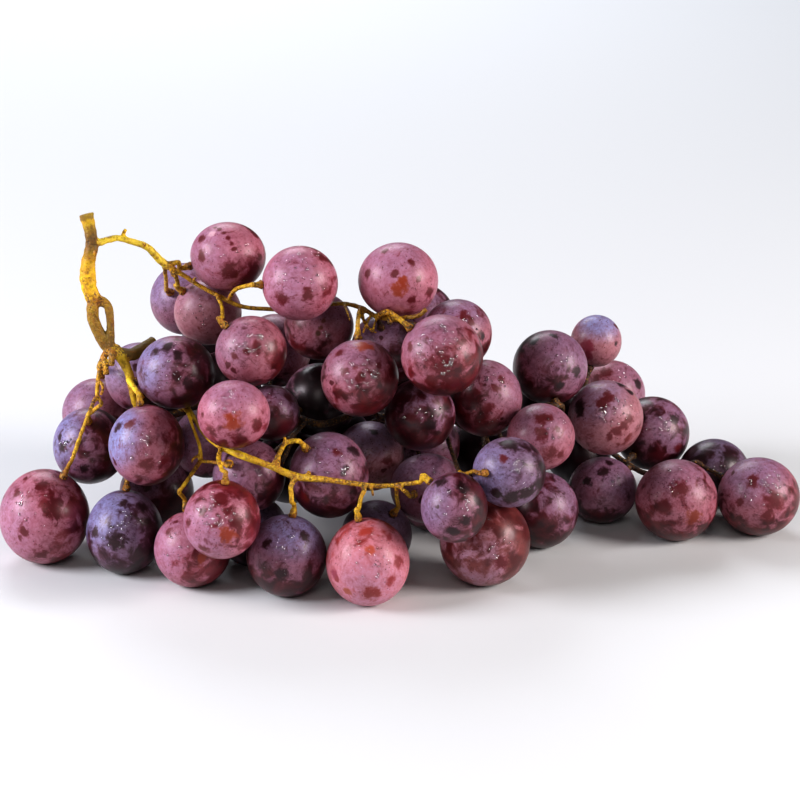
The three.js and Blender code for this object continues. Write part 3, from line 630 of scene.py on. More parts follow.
def whole_bunch():
    """Every berry, and every stem and pedicel as (name, points, radii, berry or None), bent clear as the
    frame's are. The inner berries and their pedicels come last."""
    berries = [BerryFit(name) for name in BERRY_LOOKS]
    named = {berry.name: berry for berry in berries}
    drawn = {}
    for name, (points, shows) in ROUTES.items():
        route = smooth_route(points)
        if drawn:
            route = rooted(route, np.vstack([at for at, _ in drawn.values()]))
        drawn[name] = bend_clear(route, berries, shows)
    stems = np.vstack([at for at, _ in drawn.values()])
    inside = np.vstack([drawn["rachis"][0], drawn["shoulder"][0][30:-6]])
    found = [(name, *drawn[name], None) for name in drawn]
    for name, (pad, points) in PEDICELS.items():
        berry = named[name]
        neck, neck_radius = pad_end(berry, berry.facing(*pad))
        at, radii = rooted(smooth_route(points), stems)
        more = between(at[-1], neck, (radii[-1], neck_radius))
        at, radii = np.vstack([at, more[0], neck]), np.r_[radii, more[1], neck_radius]
        found.append(("to_" + name, *bend_clear((at, radii), berries, True), berry))
    for number, points in enumerate(TWIGS):
        found.append((f"twig_{number}", *rooted(smooth_route(points), stems), None))
    for berry in berries:
        if berry.name not in PEDICELS:
            found.append(hidden_pedicel(berry, inside, berries))
    for name in INNER_BERRIES:
        berry = InnerBerry(name, berries, found)
        berries.append(berry)
        found.append(hidden_pedicel(berry, inside, berries))
    return berries, found


def ring_noise(along, turn, seed, grain):
    """Soft noise over a tube: a third of the sum of some products sin(along p + a) sin(turn n + b), whose
    pitch p, whole number n and phases a and b are drawn from a seed."""
    rng = np.random.default_rng(seed)
    total = np.zeros(np.broadcast(along, turn).shape)
    for _ in range(RELIEF_WAVES):
        pitch = rng.uniform(*RELIEF_PITCH) * grain
        lobes = rng.integers(1, 6)
        phase = rng.uniform(0, 2 * math.pi, 2)
        total += np.sin(along * pitch + phase[0]) * np.sin(turn * lobes + phase[1])
    return total / 3


def closed_grid(rows, columns, flipped=False):
    """Faces of rows of points that close round, with one more point at each end: quads, then triangles.

    The points are numbered row by row, then the one at the first row and the one at the last.
    """
    i, k = np.meshgrid(np.arange(rows - 1), np.arange(columns), indexing="ij")
    here, beside = i * columns + k, i * columns + (k + 1) % columns
    quads = np.stack([here, here + columns, beside + columns, beside], -1).reshape(-1, 4)
    k = np.arange(columns)
    ahead = (k + 1) % columns
    end, last_row = rows * columns, (rows - 1) * columns
    tris = np.vstack([np.stack([np.full(columns, end), k, ahead], -1),
                      np.stack([np.full(columns, end + 1), last_row + ahead, last_row + k], -1)])
    return (quads[:, [0, 3, 2, 1]], tris[:, [0, 2, 1]]) if flipped else (quads, tris)


def joined(surfaces):
    """Several surfaces as one: their points, quads and triangles, numbered on from one to the next."""
    starts = np.cumsum([0] + [len(surface[0]) for surface in surfaces])
    quads = np.vstack([surface[1] + start for surface, start in zip(surfaces, starts)])
    tris = np.vstack([surface[2] + start for surface, start in zip(surfaces, starts)])
    return np.vstack([surface[0] for surface in surfaces]), quads, tris


def hump(value, middle, width):
    """A smooth hump of height one at the middle: exp(-((value - middle) / width)^2)."""
    return np.exp(-(((value - middle) / width) ** 2))


def sweep(at, radii, sides, ripple):
    """A tube as a surface of two parameters: the way along the route and the turn about it.

    P(s, t) = C(s) + r(s) (1 + ripple(s, t)) (cos t N(s) + sin t B(s)), with N carried along without
    twist. Each end closes on its own middle point.
    """
    tangents = unit(np.gradient(at, axis=0))
    normals = np.zeros_like(at)
    normal = unit(np.cross(TUBE_ASIDE, tangents[0]))
    for i, tangent in enumerate(tangents):
        normal = unit(normal - tangent * (normal @ tangent))
        normals[i] = normal
    others = np.cross(tangents, normals)
    turn = np.linspace(0, 2 * math.pi, sides, endpoint=False)
    along = np.r_[0, np.cumsum(np.linalg.norm(np.diff(at, axis=0), axis=1))]
    size = radii[:, None] * (1 + ripple(along[:, None], turn[None, :]))
    rings = at[:, None] + size[..., None] * (
        np.cos(turn)[None, :, None] * normals[:, None] + np.sin(turn)[None, :, None] * others[:, None])
    return np.vstack([rings.reshape(-1, 3), at[0], at[-1]]), *closed_grid(len(at), sides, True)


def put(name, data):
    """A new object in the scene, at the origin."""
    made = bpy.data.objects.new(name, data)
    bpy.context.scene.collection.objects.link(made)
    return made


def new_mesh(name, verts, quads, tris):
    """A smooth shaded mesh object from arrays in millimetres."""
    data = bpy.data.meshes.new(name)
    data.from_pydata((verts * MM).tolist(), [], quads.tolist() + tris.tolist())
    data.validate()
    data.update()
    data.polygons.foreach_set("use_smooth", np.ones(len(data.polygons), bool))
    return put(name, data)


def set_attribute(piece, name, values):
    """A vector attribute on the points of a mesh."""
    layer = piece.data.attributes.new(name, "FLOAT_VECTOR", "POINT")
    layer.data.foreach_set("vector", np.ascontiguousarray(values, np.float32).ravel())


def berry_surface(berry, axis, seed, rows):
    """A berry over polar angle from its stem end and turn about its axis.

    Radius = the fitted egg form, times 1 plus soft waves of seeded direction, less a funnel at the stem
    end and a small pit with a raised dot at the blossom end. What would pass the table lies flat on
    it. Returns the surface, and each point's direction in the berry's own axes and in the sight frame's.
    """
    rng = np.random.default_rng(seed)
    columns = rows * 3 // 2
    polar = np.linspace(0, math.pi, rows + 1)
    turn = np.linspace(0, 2 * math.pi, columns, endpoint=False)
    side = unit(np.cross(axis, BERRY_ASIDE))
    other = np.cross(axis, side)
    ring = np.cos(turn)[:, None] * side + np.sin(turn)[:, None] * other
    inner = polar[1:-1, None, None]
    directions = (np.cos(inner) * axis + np.sin(inner) * ring[None]).reshape(-1, 3)
    directions = np.vstack([directions, axis, -axis])
    angle = np.r_[np.repeat(polar[1:-1], columns), 0, math.pi]
    lumps = np.zeros(len(directions))
    for _ in range(LUMP_WAVES):
        wave = rng.normal(0, LUMP_PITCH, 3)
        lumps += np.sin(directions @ wave + rng.uniform(0, 2 * math.pi))
    funnel, pit, dot = (depth * hump(place_on, 0, width) for place_on, (depth, width) in (
        (angle, FUNNEL), (math.pi - angle, BLOSSOM_PIT), (math.pi - angle, BLOSSOM_DOT)))
    size = berry.reach(directions) * (1 + LUMP_RISE * lumps - funnel - (pit - dot))
    verts = berry.middle + directions * size[:, None]
    verts[:, 2] = np.maximum(verts[:, 2], LEAST_SKIN_HEIGHT)
    local = np.stack([directions @ side, directions @ other, directions @ axis], -1)
    return (verts, *closed_grid(rows - 1, columns)), local, directions @ SIGHT_AXES.T


class Value:
    """An output of a shader node, which adds, subtracts and multiplies as a number does."""

    def __init__(self, socket):
        self.socket, self.tree = socket, socket.id_data

    def other(self, output):
        """Another output of the same node."""
        return Value(self.socket.node.outputs[output])

    def __add__(self, value):
        return calculate("ADD", self, value)

    def __sub__(self, value):
        return calculate("SUBTRACT", self, value)

    def __rsub__(self, value):
        return calculate("SUBTRACT", value, self)

    def __mul__(self, value):
        return calculate("MULTIPLY", self, value)

    __radd__, __rmul__ = __add__, __mul__


def screen(colour):
    """A 0 to 255 colour as a colour socket's value."""
    return (*(part / 255 for part in colour), 1)


def feed(node, inputs):
    """Sets a node's inputs by name or number. A Value is linked, and a colour of three parts is 0 to 255."""
    for key, value in inputs.items():
        socket = node.inputs[key]
        if isinstance(value, Value):
            value.tree.links.new(value.socket, socket)
        elif socket.type == "RGBA" and len(value) == 3:
            socket.default_value = screen(value)
        else:
            socket.default_value = value


def shade(tree, kind, inputs, output=0, **properties):
    """An output of a new shader node, with its properties and its inputs set."""
    node = tree.nodes.new("ShaderNode" + kind)
    for key, value in properties.items():
        setattr(node, key, value)
    feed(node, inputs)
    return Value(node.outputs[output])


def calculate(operation, first, second):
    """A Math node's result, of which at least one input is a Value."""
    tree = first.tree if isinstance(first, Value) else second.tree
    return shade(tree, "Math", {0: first, 1: second}, operation=operation)


def vector_math(operation, *values, output="Vector"):
    """A Vector Math node's result, whose first input is a Value."""
    return shade(values[0].tree, "VectorMath", dict(enumerate(values)), output, operation=operation)


def ramp(value, low, high):
    """A value mapped from low..high to 0..1, softly at both ends."""
    return shade(value.tree, "MapRange", {"Value": value, "From Min": low, "From Max": high}, "Result",
                 interpolation_type="SMOOTHSTEP")


def mix_colour(factor, first, second):
    """The first colour, with a share of the second mixed in."""
    return shade(factor.tree, "Mix", {0: factor, 6: first, 7: second}, 2, data_type="RGBA")


def noise(point, scale, detail=4.0, rough=0.55, warp=0.0):
    """A Noise Texture's value."""
    inputs = {"Vector": point, "Scale": scale, "Detail": detail, "Roughness": rough, "Distortion": warp}
    return shade(point.tree, "TexNoise", inputs, "Fac")


def cells_of(point, scale):
    """The distance to the middle of a Voronoi Texture's cell."""
    return shade(point.tree, "TexVoronoi", {"Vector": point, "Scale": scale}, "Distance")


def attribute(tree, name):
    """A vector attribute of the mesh, as a Value."""
    return shade(tree, "Attribute", {}, "Vector", attribute_name=name)


def group_with(name, inputs, outputs):
    """A new shader node group: its tree, its inputs as Values, and the node that its outputs go into."""
    tree = bpy.data.node_groups.new(name, "ShaderNodeTree")
    for label, (kind, default) in inputs.items():
        socket = tree.interface.new_socket(name=label, in_out="INPUT", socket_type="NodeSocket" + kind)
        socket.default_value = default
    for label, kind in outputs.items():
        tree.interface.new_socket(name=label, in_out="OUTPUT", socket_type="NodeSocket" + kind)
    given = tree.nodes.new("NodeGroupInput")
    return tree, {label: Value(given.outputs[label]) for label in inputs}, tree.nodes.new("NodeGroupOutput")


def bloomed_skin():
    """The grape skin: glossy flesh under a waxy bloom, rubbed off in patches, with wipes and specks. The
    bloom lies thicker and bluer on a given side, which is partly painted light and shade.
    """
    tree, given, made = group_with(
        "Bloomed grape skin",
        {"Flesh": ("Color", (0.1, 0.01, 0.02, 1)), "Blush": ("Color", (0.3, 0.04, 0.06, 1)),
         "Bloom": ("Color", (0.4, 0.3, 0.4, 1)), "Cover": ("Float", 0.6), "Spots": ("Float", 0.1),
         "Side": ("Vector", (0, 0, 1)), "Cold": ("Float", 0.3)},
        {"Color": "Color", "Roughness": "Float", "Height": "Float"})
    skin = attribute(tree, "skin")
    lean = vector_math("DOT_PRODUCT", attribute(tree, "turn"), given["Side"], output="Value")

    # How thick the bloom lies: broad clouds, thicker on the given side. That side is set mostly towards
    #     # the lit side and the front, so the paler bloom there and the barer rims are partly painted light
    #     and shade.
    clouds = noise(skin, 0.95, 4.0, 0.55, 0.4) * 0.42 + noise(skin, 2.1, 5.0, 0.58, 0.6) * 0.58 + lean * 0.16
    edge = 0.66 - given["Cover"] * 0.28
    cover = ramp(clouds, edge - 0.065, edge + 0.065)

    # Rubbed patches: some of the cells of a warped cell pattern, with firm edges.
    warp = shade(tree, "TexNoise", {"Vector": skin, "Scale": 2.4}, "Color")
    warped = vector_math("MULTIPLY_ADD", warp, (0.42, 0.42, 0.42), skin)
    cells = cells_of(warped, 1.55)
    lot = shade(tree, "SeparateColor", {0: cells.other("Color")})
    chosen = calculate("LESS_THAN", lot, given["Spots"] * 2.0)
    outer = 0.10 + lot.other(1) * 0.20
    rubbed = ramp(cells, outer, outer - 0.07) * chosen * 0.85

    # Fine wipes and grain.
    streaks = noise(vector_math("MULTIPLY", skin, (4.2, 4.2, 1.0)), 1.5, 5.0, 0.65, 0.4)
    wiped = ramp(streaks, 0.56, 0.67) * ramp(noise(skin, 1.3, 2.0), 0.40, 0.56)
    grain = noise(skin, 13.0, 5.0, 0.7)
    mottle = ramp(noise(skin, 6.0, 5.0, 0.7, 0.5), 0.36, 0.60)
    thickness = 0.55 + ramp(grain, 0.30, 0.66) * 0.14 + mottle * 0.24
    bare = calculate("MAXIMUM", rubbed, wiped * 0.55)
    veil = cover * thickness * (1.0 - bare)

    # The bloom over the flesh, and small dark specks over both.
    tone = ramp(noise(skin, 1.8, 4.0, 0.55, 0.4), 0.36, 0.66) * (1.0 - rubbed * 0.8)
    flesh = mix_colour(tone, given["Flesh"], given["Blush"])
    # On its thick side the bloom turns pale blue: painted cool light.
    bloom = mix_colour(ramp(lean, 0.35, 0.95) * given["Cold"], given["Bloom"], FROST_AND_COOL_LIGHT)
    colour = mix_colour(veil * 0.96 + 0.03, flesh, bloom)
    speck = ramp(cells_of(skin, 8.5), 0.22, 0.10) * ramp(noise(skin, 1.6, 2.0), 0.42, 0.56)
    feed(made, {
        "Color": mix_colour(speck * 0.7, colour, SPECK), "Roughness": 0.33 + veil * 0.16 + grain * 0.06,
        "Height": veil * 0.40 + grain * 0.22 - speck * 0.30,
    })
    return tree


def skin_mark():
    """A ragged spot on a skin, round the direction Toward, as wide as Size over the berry's half width."""
    tree, given, made = group_with(
        "Skin mark",
        {"Color": ("Color", (0.1, 0.01, 0.02, 1)), "Toward": ("Vector", (0, -1, 0)), "Size": ("Float", 0.1),
         "Tint": ("Color", (0.1, 0.02, 0.02, 1))},
        {"Color": "Color"})
    skin = attribute(tree, "skin")
    away = vector_math("DISTANCE", attribute(tree, "turn"), given["Toward"], output="Value")
    ragged = (noise(skin, 4.6, 4.0, 0.6) - 0.5) * (given["Size"] * 3.0)
    mask = ramp(away + ragged, given["Size"] * 1.5, given["Size"] * 0.55)
    worn = mask * ramp(noise(skin, 14.0, 3.0, 0.7), 0.15, 0.42) * 0.92
    feed(made, {"Color": mix_colour(worn, given["Color"], given["Tint"])})
    return tree


def new_material(name):
    """A material with shader nodes, and its Principled shader."""
    material = bpy.data.materials.new(name)
    material.use_nodes = True
    return material, material.node_tree.nodes["Principled BSDF"]


def dress(shader, colour, height, bump_mm, strength, finish):
    """Feeds a Principled shader its colour made linear, a bump from a height, and the rest by name."""
    linear = shade(shader.id_data, "Gamma", {"Color": colour, "Gamma": SCREEN_GAMMA})
    bump = {"Height": height, "Distance": bump_mm * MM, "Strength": strength}
    feed(shader, {"Base Color": linear, "Normal": shade(shader.id_data, "Bump", bump, "Normal"), **finish})


def berry_material(berry, group, mark, settings):
    """A berry's own skin: the shared bloomed skin in its colours, with its marks laid over it."""
    skin_name, cover, spots, (side_right, side_up) = BERRY_LOOKS.get(berry.name, INNER_SHADE_LOOK)
    flesh, blush, bloom = SKINS[skin_name]
    # Inside the bunch the bloom leans behind, which leaves the front near black: painted shade. Elsewhere it
    # leans to the front, which leaves the rims darker: painted rim shade.
    lean = INNER_SHADE_LEAN if skin_name == "deep" else RIM_SHADE_LEAN
    material, shader = new_material("skin_of_" + berry.name)
    skin = shade(material.node_tree, "Group", {
        "Flesh": flesh, "Blush": blush, "Bloom": bloom, "Cover": cover * settings.bloom_cover,
        "Spots": spots, "Cold": COOL_LIGHT_TINT.get(berry.name, USUAL_COOL_LIGHT_TINT),
        "Side": unit(np.array([side_right, lean, side_up])).tolist(),
    }, "Color", node_tree=group)
    colour = skin
    for tint, *marks in MARKS.get(berry.name, ()):
        for u, v, steps in marks:
            colour = shade(material.node_tree, "Group", {
                "Color": colour, "Toward": (SIGHT_AXES @ berry.facing(u, v)).tolist(),
                "Size": steps * berry.step / berry.half.mean(), "Tint": tint,
            }, "Color", node_tree=mark)
    dress(shader, colour, skin.other("Height"), 0.10, 0.5, {
        "Roughness": skin.other("Roughness"),
        "Specular IOR Level": 0.45, "Specular Tint": (1.0, 0.84, 0.88, 1),
        "Subsurface Weight": 0.08, "Subsurface Radius": (1.0, 0.22, 0.14), "Subsurface Scale": 0.003,
        "Coat Weight": 0.12, "Coat Roughness": 0.18,
    })
    return material


def stalk_material():
    """Golden stalk: olive and brown stains, near-black painted shade on the stems inside the bunch,
    lengthwise fibres, orange-brown warts.
    """
    material, shader = new_material("stalk_skin")
    spot = shade(material.node_tree, "TexCoord", {}, "Object")
    brown = shade(material.node_tree, "SeparateXYZ", {0: attribute(material.node_tree, "tone")})
    olive, pale = brown.other(1), brown.other(2)
    cloud = noise(spot, 260.0, 5.0, 0.6, 0.5)
    fine = noise(spot, 1500.0, 4.0, 0.65)
    dirt = ramp(noise(spot, 420.0, 5.0, 0.7, 0.6), 0.50, 0.68)
    crack = ramp(noise(spot, 700.0, 6.0, 0.75), 0.56, 0.66)
    wart = ramp(cells_of(spot, 900.0), 0.44, 0.14) * ramp(brown + cloud, 0.45, 0.85)
    pits = ramp(noise(spot, 1000.0, 3.0, 0.6), 0.50, 0.58)
    colour = mix_colour(ramp(cloud, 0.35, 0.65), (210, 152, 6), (246, 202, 18))
    # Olive near one turns near black: painted shade on the stems inside the bunch.
    stain_and_shade = mix_colour(ramp(olive, 0.9, 1.0), (70, 54, 12), (24, 17, 7))
    for share, tint in (
            (pale, (240, 216, 70)), (olive * ramp(cloud, 0.10, 0.45), stain_and_shade), (dirt * 0.65, (138, 84, 12)),
            (brown * ramp(fine, 0.30, 0.62), (150, 78, 16)), (crack * 0.35, (84, 50, 12)),
            (wart * 0.6, (196, 142, 50)), (pits * brown, (58, 38, 10))):
        colour = mix_colour(share, colour, tint)
    dress(shader, colour, wart * 0.8 + fine * 0.5 - crack * 0.4, 0.42, 0.9, {
        "Roughness": 0.48 + fine * 0.22, "Subsurface Weight": 0.04, "Subsurface Radius": (1.0, 0.6, 0.2),
        "Subsurface Scale": 0.0015,
    })
    return material


def tones_of(name, along):
    """How brown, olive and pale a stem is along its length, from 0 to 1. Full olive stands for near-black
    painted shade on the stems inside the bunch.
    """
    brown = olive = pale = 0
    if name == "peduncle":
        olive = 0.85 * hump(along, 0.30, 0.17) + 0.45 * (along < 0.06)
        brown = 0.35 * hump(along, 0.30, 0.12) + 0.6 * np.clip((along - 0.93) / 0.07, 0, 1)
    elif name in ("left_strand", "right_strand"):
        olive = 0.35 + 0.4 * along
        brown = 0.5 * hump(along, 0, 0.15) + 0.2
    elif name == "olive_arm":
        olive = 0.75
    elif name == "stub":
        olive, brown = 0.4, 0.5
    elif name == "shoulder":
        pale = np.where(along < 0.26, 0.75, 0.1)
        brown = np.where(along < 0.26, 0.05, 0.35) + 0.5 * hump(along, 0.25, 0.02)
        olive = np.clip((along - 0.4) * 3, 0, 0.5)
    elif name == "left_lateral":
        brown = np.clip(0.9 - along * 0.9, 0.2, 0.9)
    elif name == "yellow_arm":
        pale = 0.5
        brown = np.clip((along - 0.85) * 6, 0, 1)
    elif name == "lower_lateral":
        pale = np.where(along > 0.3, 0.35, 0.0)
        olive = np.where(along < 0.28, 0.5, 0.08)
        brown = 0.25 * hump(along, 0.52, 0.03) + np.clip((along - 0.45) * 1.6, 0, 0.5)
    elif name == "thin_lateral":
        brown, pale = 0.3 * (1 - along), 0.2
    elif name == "rachis":
        pale = np.where(along < 0.12, 0.3, 0.0)
        # Past its start the rachis, inside the bunch, is full olive: painted shade.
        olive = np.where(along > 0.12, 1.0, 0.1)
        brown = 0.5 * hump(along, 0.055, 0.008) + 0.3 * (along > 0.12)
    elif name.startswith("twig_"):
        brown, pale = 0.45 + 0.3 * along, 0.15
    elif name.startswith("to_") and name[3:] not in PEDICELS:
        # Pedicels that don't show are full olive: painted shade.
        olive, brown = 1.0, 0.4
    elif name.startswith("to_"):
        pale = 0.35 * (1 - along)
        padded = np.clip((along - 0.6) * 5, 0, 1)
        brown = 0.25 + 0.6 * hump(along, 0, 0.14) + 0.6 * padded
        olive = 0.4 * padded
        if name == "to_r1":
            # The hidden first part of r1's pedicel is full olive: painted shade.
            olive = np.where(along < 0.6, 1.0, olive)
    return np.stack([tone + 0 * along for tone in (brown, olive, pale)], -1).clip(0, 1)


def stalk_tube(name, at, radii, berry, seed):
    """One stem or pedicel as a fine tube, and its lengthwise tone."""
    (rise, grain), spacing = STEM_WARTS, SHOWN_SPACING
    if berry is not None:
        direction = unit(at[-1] - berry.middle)
        out = berry.reach(direction) + PAD_RINGS[:, 0]
        at = np.vstack([at, berry.middle + direction * out[:, None]])
        radii = np.r_[radii, PAD_STEPS * berry.step / 2 * PAD_RINGS[:, 1]]
        rise, grain = PEDICEL_WARTS
        if berry.name not in PEDICELS:
            spacing = HIDDEN_SPACING
    length = np.linalg.norm(np.diff(at, axis=0), axis=1).sum()
    t = np.linspace(0, 1, max(6, int(length / spacing)))
    fine = centripetal(at, t) if len(at) > 2 else at[0] + (at[-1] - at[0]) * t[:, None]
    size = np.interp(t, np.linspace(0, 1, len(at)), radii)

    def ripple(along, turn):
        warts = rise * WART_SHARE * ring_noise(along, turn, seed, grain)
        return warts + FLUTE_RISE * np.cos(turn * FLUTES + along * FLUTE_TWIST)

    sides = THICK_SIDES if size.max() > THICK_STEM else THIN_SIDES
    return sweep(fine, size, sides, ripple), tones_of(name, np.r_[np.repeat(t, sides), 0, 1])


def drop_domes(berry, groups, largest, seed):
    """Drops on a berry, each a low dome over a round foot that is sunk a little way into the skin.

    P(s, t) = foot + r sin(s) (cos t A + sin t B) + 0.8 r cos(s) N, with s from the crown down to the foot.
    """
    rng = np.random.default_rng(seed)
    rings, sides = 5, 10
    s = np.linspace(0, math.pi / 2, rings)[1:]
    t = np.linspace(0, 2 * math.pi, sides, endpoint=False)
    across, along = (np.r_[np.outer(np.sin(s), wave).ravel(), DROP_FOOT * wave, 0, 0]
                     for wave in (np.cos(t), np.sin(t)))
    rise = np.r_[np.repeat(DROP_CROWN * np.cos(s), sides), np.full(sides, DROP_SUNK), DROP_CROWN, DROP_SUNK]
    faces = closed_grid(rings, sides)
    drops = []
    for u, v, spread, largest_steps, count in groups:
        turn = rng.uniform(0, 2 * math.pi, count)
        out = spread * np.sqrt(rng.uniform(0, 1, count))
        shares = SMALLEST_DROP + (1 - SMALLEST_DROP) * rng.uniform(0, 1, count) ** DROP_SPREAD
        sizes = largest * largest_steps * (shares if count > 1 else np.ones(1))
        for place_u, place_v, size in zip(u + out * np.cos(turn), v + out * np.sin(turn), sizes):
            normal = berry.facing(place_u, place_v)
            side = unit(np.cross(normal, UP))
            dome = np.outer(across, side) + np.outer(along, np.cross(normal, side)) + np.outer(rise, normal)
            drops.append((berry.middle + normal * berry.reach(normal) + dome * size, *faces))
    return drops


def water_material():
    """Clear water with a bright skin."""
    material, shader = new_material("dew_water")
    feed(shader, {"Base Color": (1, 1, 1, 1), "Roughness": 0.03, "IOR": 1.33, "Transmission Weight": 1.0,
                  "Coat Weight": 1.0, "Coat IOR": 2.0, "Coat Roughness": 0.05})
    return material


class BunchSettings(bpy.types.PropertyGroup):
    """Sizes and colours of the bunch that a user would change."""

    berry_rows: bpy.props.IntProperty(
        name="Berry rows", description="Rows of faces from a berry's stem end to its blossom end",
        default=36, min=8, max=96)
    bloom_cover: bpy.props.FloatProperty(
        name="Bloom", description="How much of each skin the waxy bloom covers, as a share of the usual",
        default=1.0, min=0.0, max=1.5, subtype="FACTOR")
    stalk_grain: bpy.props.FloatProperty(
        name="Stalk grain", description="Size of the faces that the stalk is remeshed to",
        default=0.36 * MM, min=0.2 * MM, max=2 * MM, unit="LENGTH")
    dew_size: bpy.props.FloatProperty(
        name="Dew", description="Half width of a dew drop of size one", default=0.75 * MM, min=0.1 * MM,
        max=2 * MM, unit="LENGTH")
    floor_colour: bpy.props.FloatVectorProperty(
        name="Floor", description="Colour of the floor", default=(0.70, 0.70, 0.71), size=3, subtype="COLOR",
        min=0, max=1)
    key_power: bpy.props.FloatProperty(
        name="Key light", description="Power of the large light at the upper left", default=17.0, min=0,
        unit="POWER")
    room_light: bpy.props.FloatProperty(
        name="Room light", description="Strength of the even light from all round", default=0.07, min=0)


class GRAPES_OT_berries(bpy.types.Operator):
    """Make every berry over its faceted node, with its own bloomed skin"""

    bl_idname = "grapes.berries"
    bl_label = "Berries"

    def execute(self, context):
        settings = context.scene.bunch_settings
        group, mark = bloomed_skin(), skin_mark()
        berries, routes = whole_bunch()
        axes = {berry.name: unit(at[-1] - berry.middle) for _, at, _, berry in routes if berry is not None}
        slots = {row["node"]: row["material_slot"] for row in frame["record"]["subparts"]}
        for seed, berry in enumerate(berries):
            surface, local, turned = berry_surface(berry, axes[berry.name], seed, settings.berry_rows)
            piece = new_mesh("grape_" + berry.name, *surface)
            set_attribute(piece, "skin", local * berry.half.mean() / SKIN_PATTERN + seed * SKIN_SHIFT)
            set_attribute(piece, "turn", turned)
            piece.data.materials.append(berry_material(berry, group, mark, settings))
            node = "berry_" + berry.name
            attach(piece, "root")
            if node in slots:
                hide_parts(node)
        return {"FINISHED"}


class GRAPES_OT_stalk(bpy.types.Operator):
    """Grow the stalk along its routes, remesh it into one skin and tone it"""

    bl_idname = "grapes.stalk"
    bl_label = "Stalk"

    def execute(self, context):
        settings = context.scene.bunch_settings
        tubes = [stalk_tube(*route, FIRST_STALK_SEED + seed) for seed, route in enumerate(whole_bunch()[1])]
        verts, quads, tris = joined([tube for tube, _ in tubes])
        tones = np.vstack([tone for _, tone in tubes])
        rough = new_mesh("stalk_tubes", verts, quads, tris)
        remesh = rough.modifiers.new("skin", "REMESH")
        remesh.mode, remesh.voxel_size = "VOXEL", settings.stalk_grain
        smooth = rough.modifiers.new("soften", "SMOOTH")
        smooth.factor, smooth.iterations = 0.5, 1
        rough.modifiers.new("fewer", "DECIMATE").ratio = STALK_SHARE
        data = bpy.data.meshes.new_from_object(rough.evaluated_get(context.evaluated_depsgraph_get()))
        bpy.data.objects.remove(rough)
        data.name = "stalk_skin"
        piece = put("stalk_skin", data)
        data.polygons.foreach_set("use_smooth", np.ones(len(data.polygons), bool))
        tree = kdtree.KDTree(len(verts))
        for i, point in enumerate(verts * MM):
            tree.insert(point, i)
        tree.balance()
        nearest = [tree.find(vertex.co)[1] for vertex in data.vertices]
        set_attribute(piece, "tone", tones[nearest])
        data.materials.clear()
        data.materials.append(stalk_material())
        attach(piece, "root")
        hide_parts("stalk")
        return {"FINISHED"}


class GRAPES_OT_dew(bpy.types.Operator):
    """Scatter dew drops in groups on the berries that carry them"""

    bl_idname = "grapes.dew"
    bl_label = "Dew"

    def execute(self, context):
        largest = context.scene.bunch_settings.dew_size / MM
        drops = []
        for seed, (name, groups) in enumerate(DEW.items()):
            drops += drop_domes(BerryFit(name), groups, largest, FIRST_DEW_SEED + seed)
        piece = new_mesh("dew", *joined(drops))
        piece.data.materials.append(water_material())
        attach(piece, "root")
        return {"FINISHED"}


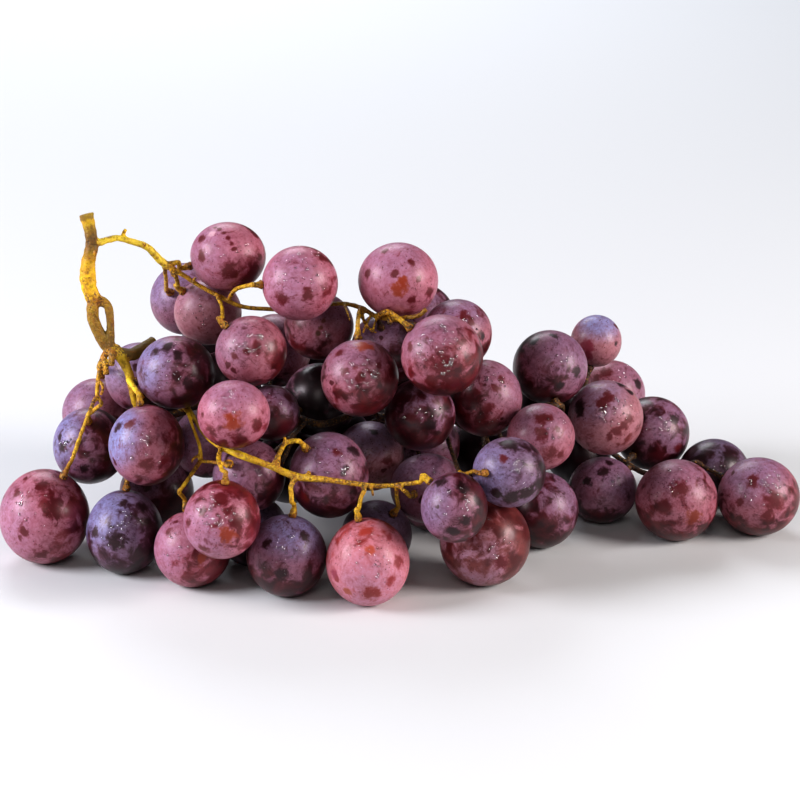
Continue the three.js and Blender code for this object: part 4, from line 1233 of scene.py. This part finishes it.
class GRAPES_OT_stage(bpy.types.Operator):
    """Lay the pale floor, set the soft studio lights and aim the camera"""

    bl_idname = "grapes.stage"
    bl_label = "Stage"

    def execute(self, context):
        settings = context.scene.bunch_settings
        corners = np.array([[-1, -1, 0], [1, -1, 0], [1, 1, 0], [-1, 1, 0]]) * FLOOR_HALF
        floor = new_mesh("floor", corners, np.array([[0, 1, 2, 3]]), np.zeros((0, 3), int))
        paint, shader = new_material("floor_paint")
        feed(shader, {"Base Color": (*settings.floor_colour, 1), "Roughness": 0.9})
        floor.data.materials.append(paint)
        world = bpy.data.worlds.new("studio")
        world.use_nodes = True
        background = {"Color": (0.93, 0.95, 1.0, 1), "Strength": settings.room_light}
        feed(world.node_tree.nodes["Background"], background)
        context.scene.world = world
        context.scene.view_settings.view_transform = "Standard"
        context.scene.view_settings.gamma = SHADOW_GAMMA
        middle = Vector(SIGHT_CENTRE * MM)
        far_floor = Vector((0, 1.1, 0))
        lamps = (
            ("left_key", (-0.95, -0.22, 0.46), middle, 0.56, settings.key_power, (0.93, 0.94, 1.0)),
            ("right_key", (0.95, -0.30, 0.40), middle, 0.52, settings.key_power * 0.84, (1.0, 0.96, 0.93)),
            ("front", (-0.10, -1.00, 0.80), middle, 0.60, settings.key_power * 0.12, (1.0, 0.98, 0.96)),
            ("back_rim", (-0.25, 1.25, 0.90), far_floor, 0.90, settings.key_power * 0.90, (0.90, 0.94, 1.0)),
        )
        for name, offset, target, size, power, colour in lamps:
            light = bpy.data.lights.new(name, "AREA")
            light.shape, light.size, light.energy, light.color = "DISK", size, power, colour
            lamp = put(name, light)
            lamp.location = middle + Vector(offset)
            lamp.rotation_euler = (target - lamp.location).to_track_quat("-Z", "Y").to_euler()
        lens = bpy.data.cameras.new("camera")
        lens.sensor_width = SENSOR_MM
        lens.lens = SENSOR_MM * SIGHT_DISTANCE / (FRAME_STEPS * STEP_MM)
        lens.clip_start = 0.05
        camera = put("camera", lens)
        camera.location = (SIGHT_CENTRE - FORWARD * SIGHT_DISTANCE) * MM
        camera.rotation_euler = Vector(FORWARD).to_track_quat("-Z", "Y").to_euler()
        context.scene.camera = camera
        return {"FINISHED"}


class GRAPES_PT_panel(bpy.types.Panel):
    """Lists the bunch's settings and makers"""

    bl_idname = "GRAPES_PT_panel"
    bl_label = "Bunch of grapes"
    bl_space_type = "VIEW_3D"
    bl_region_type = "UI"
    bl_category = "Grapes"

    def draw(self, context):
        for name in BunchSettings.__annotations__:
            self.layout.prop(context.scene.bunch_settings, name)
        for maker in MAKERS:
            self.layout.operator(maker.bl_idname)


MAKERS = (GRAPES_OT_stage, GRAPES_OT_berries, GRAPES_OT_stalk, GRAPES_OT_dew)
CLASSES = (BunchSettings, *MAKERS, GRAPES_PT_panel)


def register():
    """Adds the settings, the makers and the panel to Blender."""
    for each in CLASSES:
        bpy.utils.register_class(each)
    bpy.types.Scene.bunch_settings = bpy.props.PointerProperty(type=BunchSettings)


def unregister():
    """Takes them out again, the last one first."""
    del bpy.types.Scene.bunch_settings
    for each in reversed(CLASSES):
        bpy.utils.unregister_class(each)


def main():
    """Makes the stage, the berries, the stalk and the dew."""
    register()
    bpy.ops.grapes.stage()
    bpy.ops.grapes.berries()
    bpy.ops.grapes.stalk()
    bpy.ops.grapes.dew()


if __name__ == "__main__":
    main()
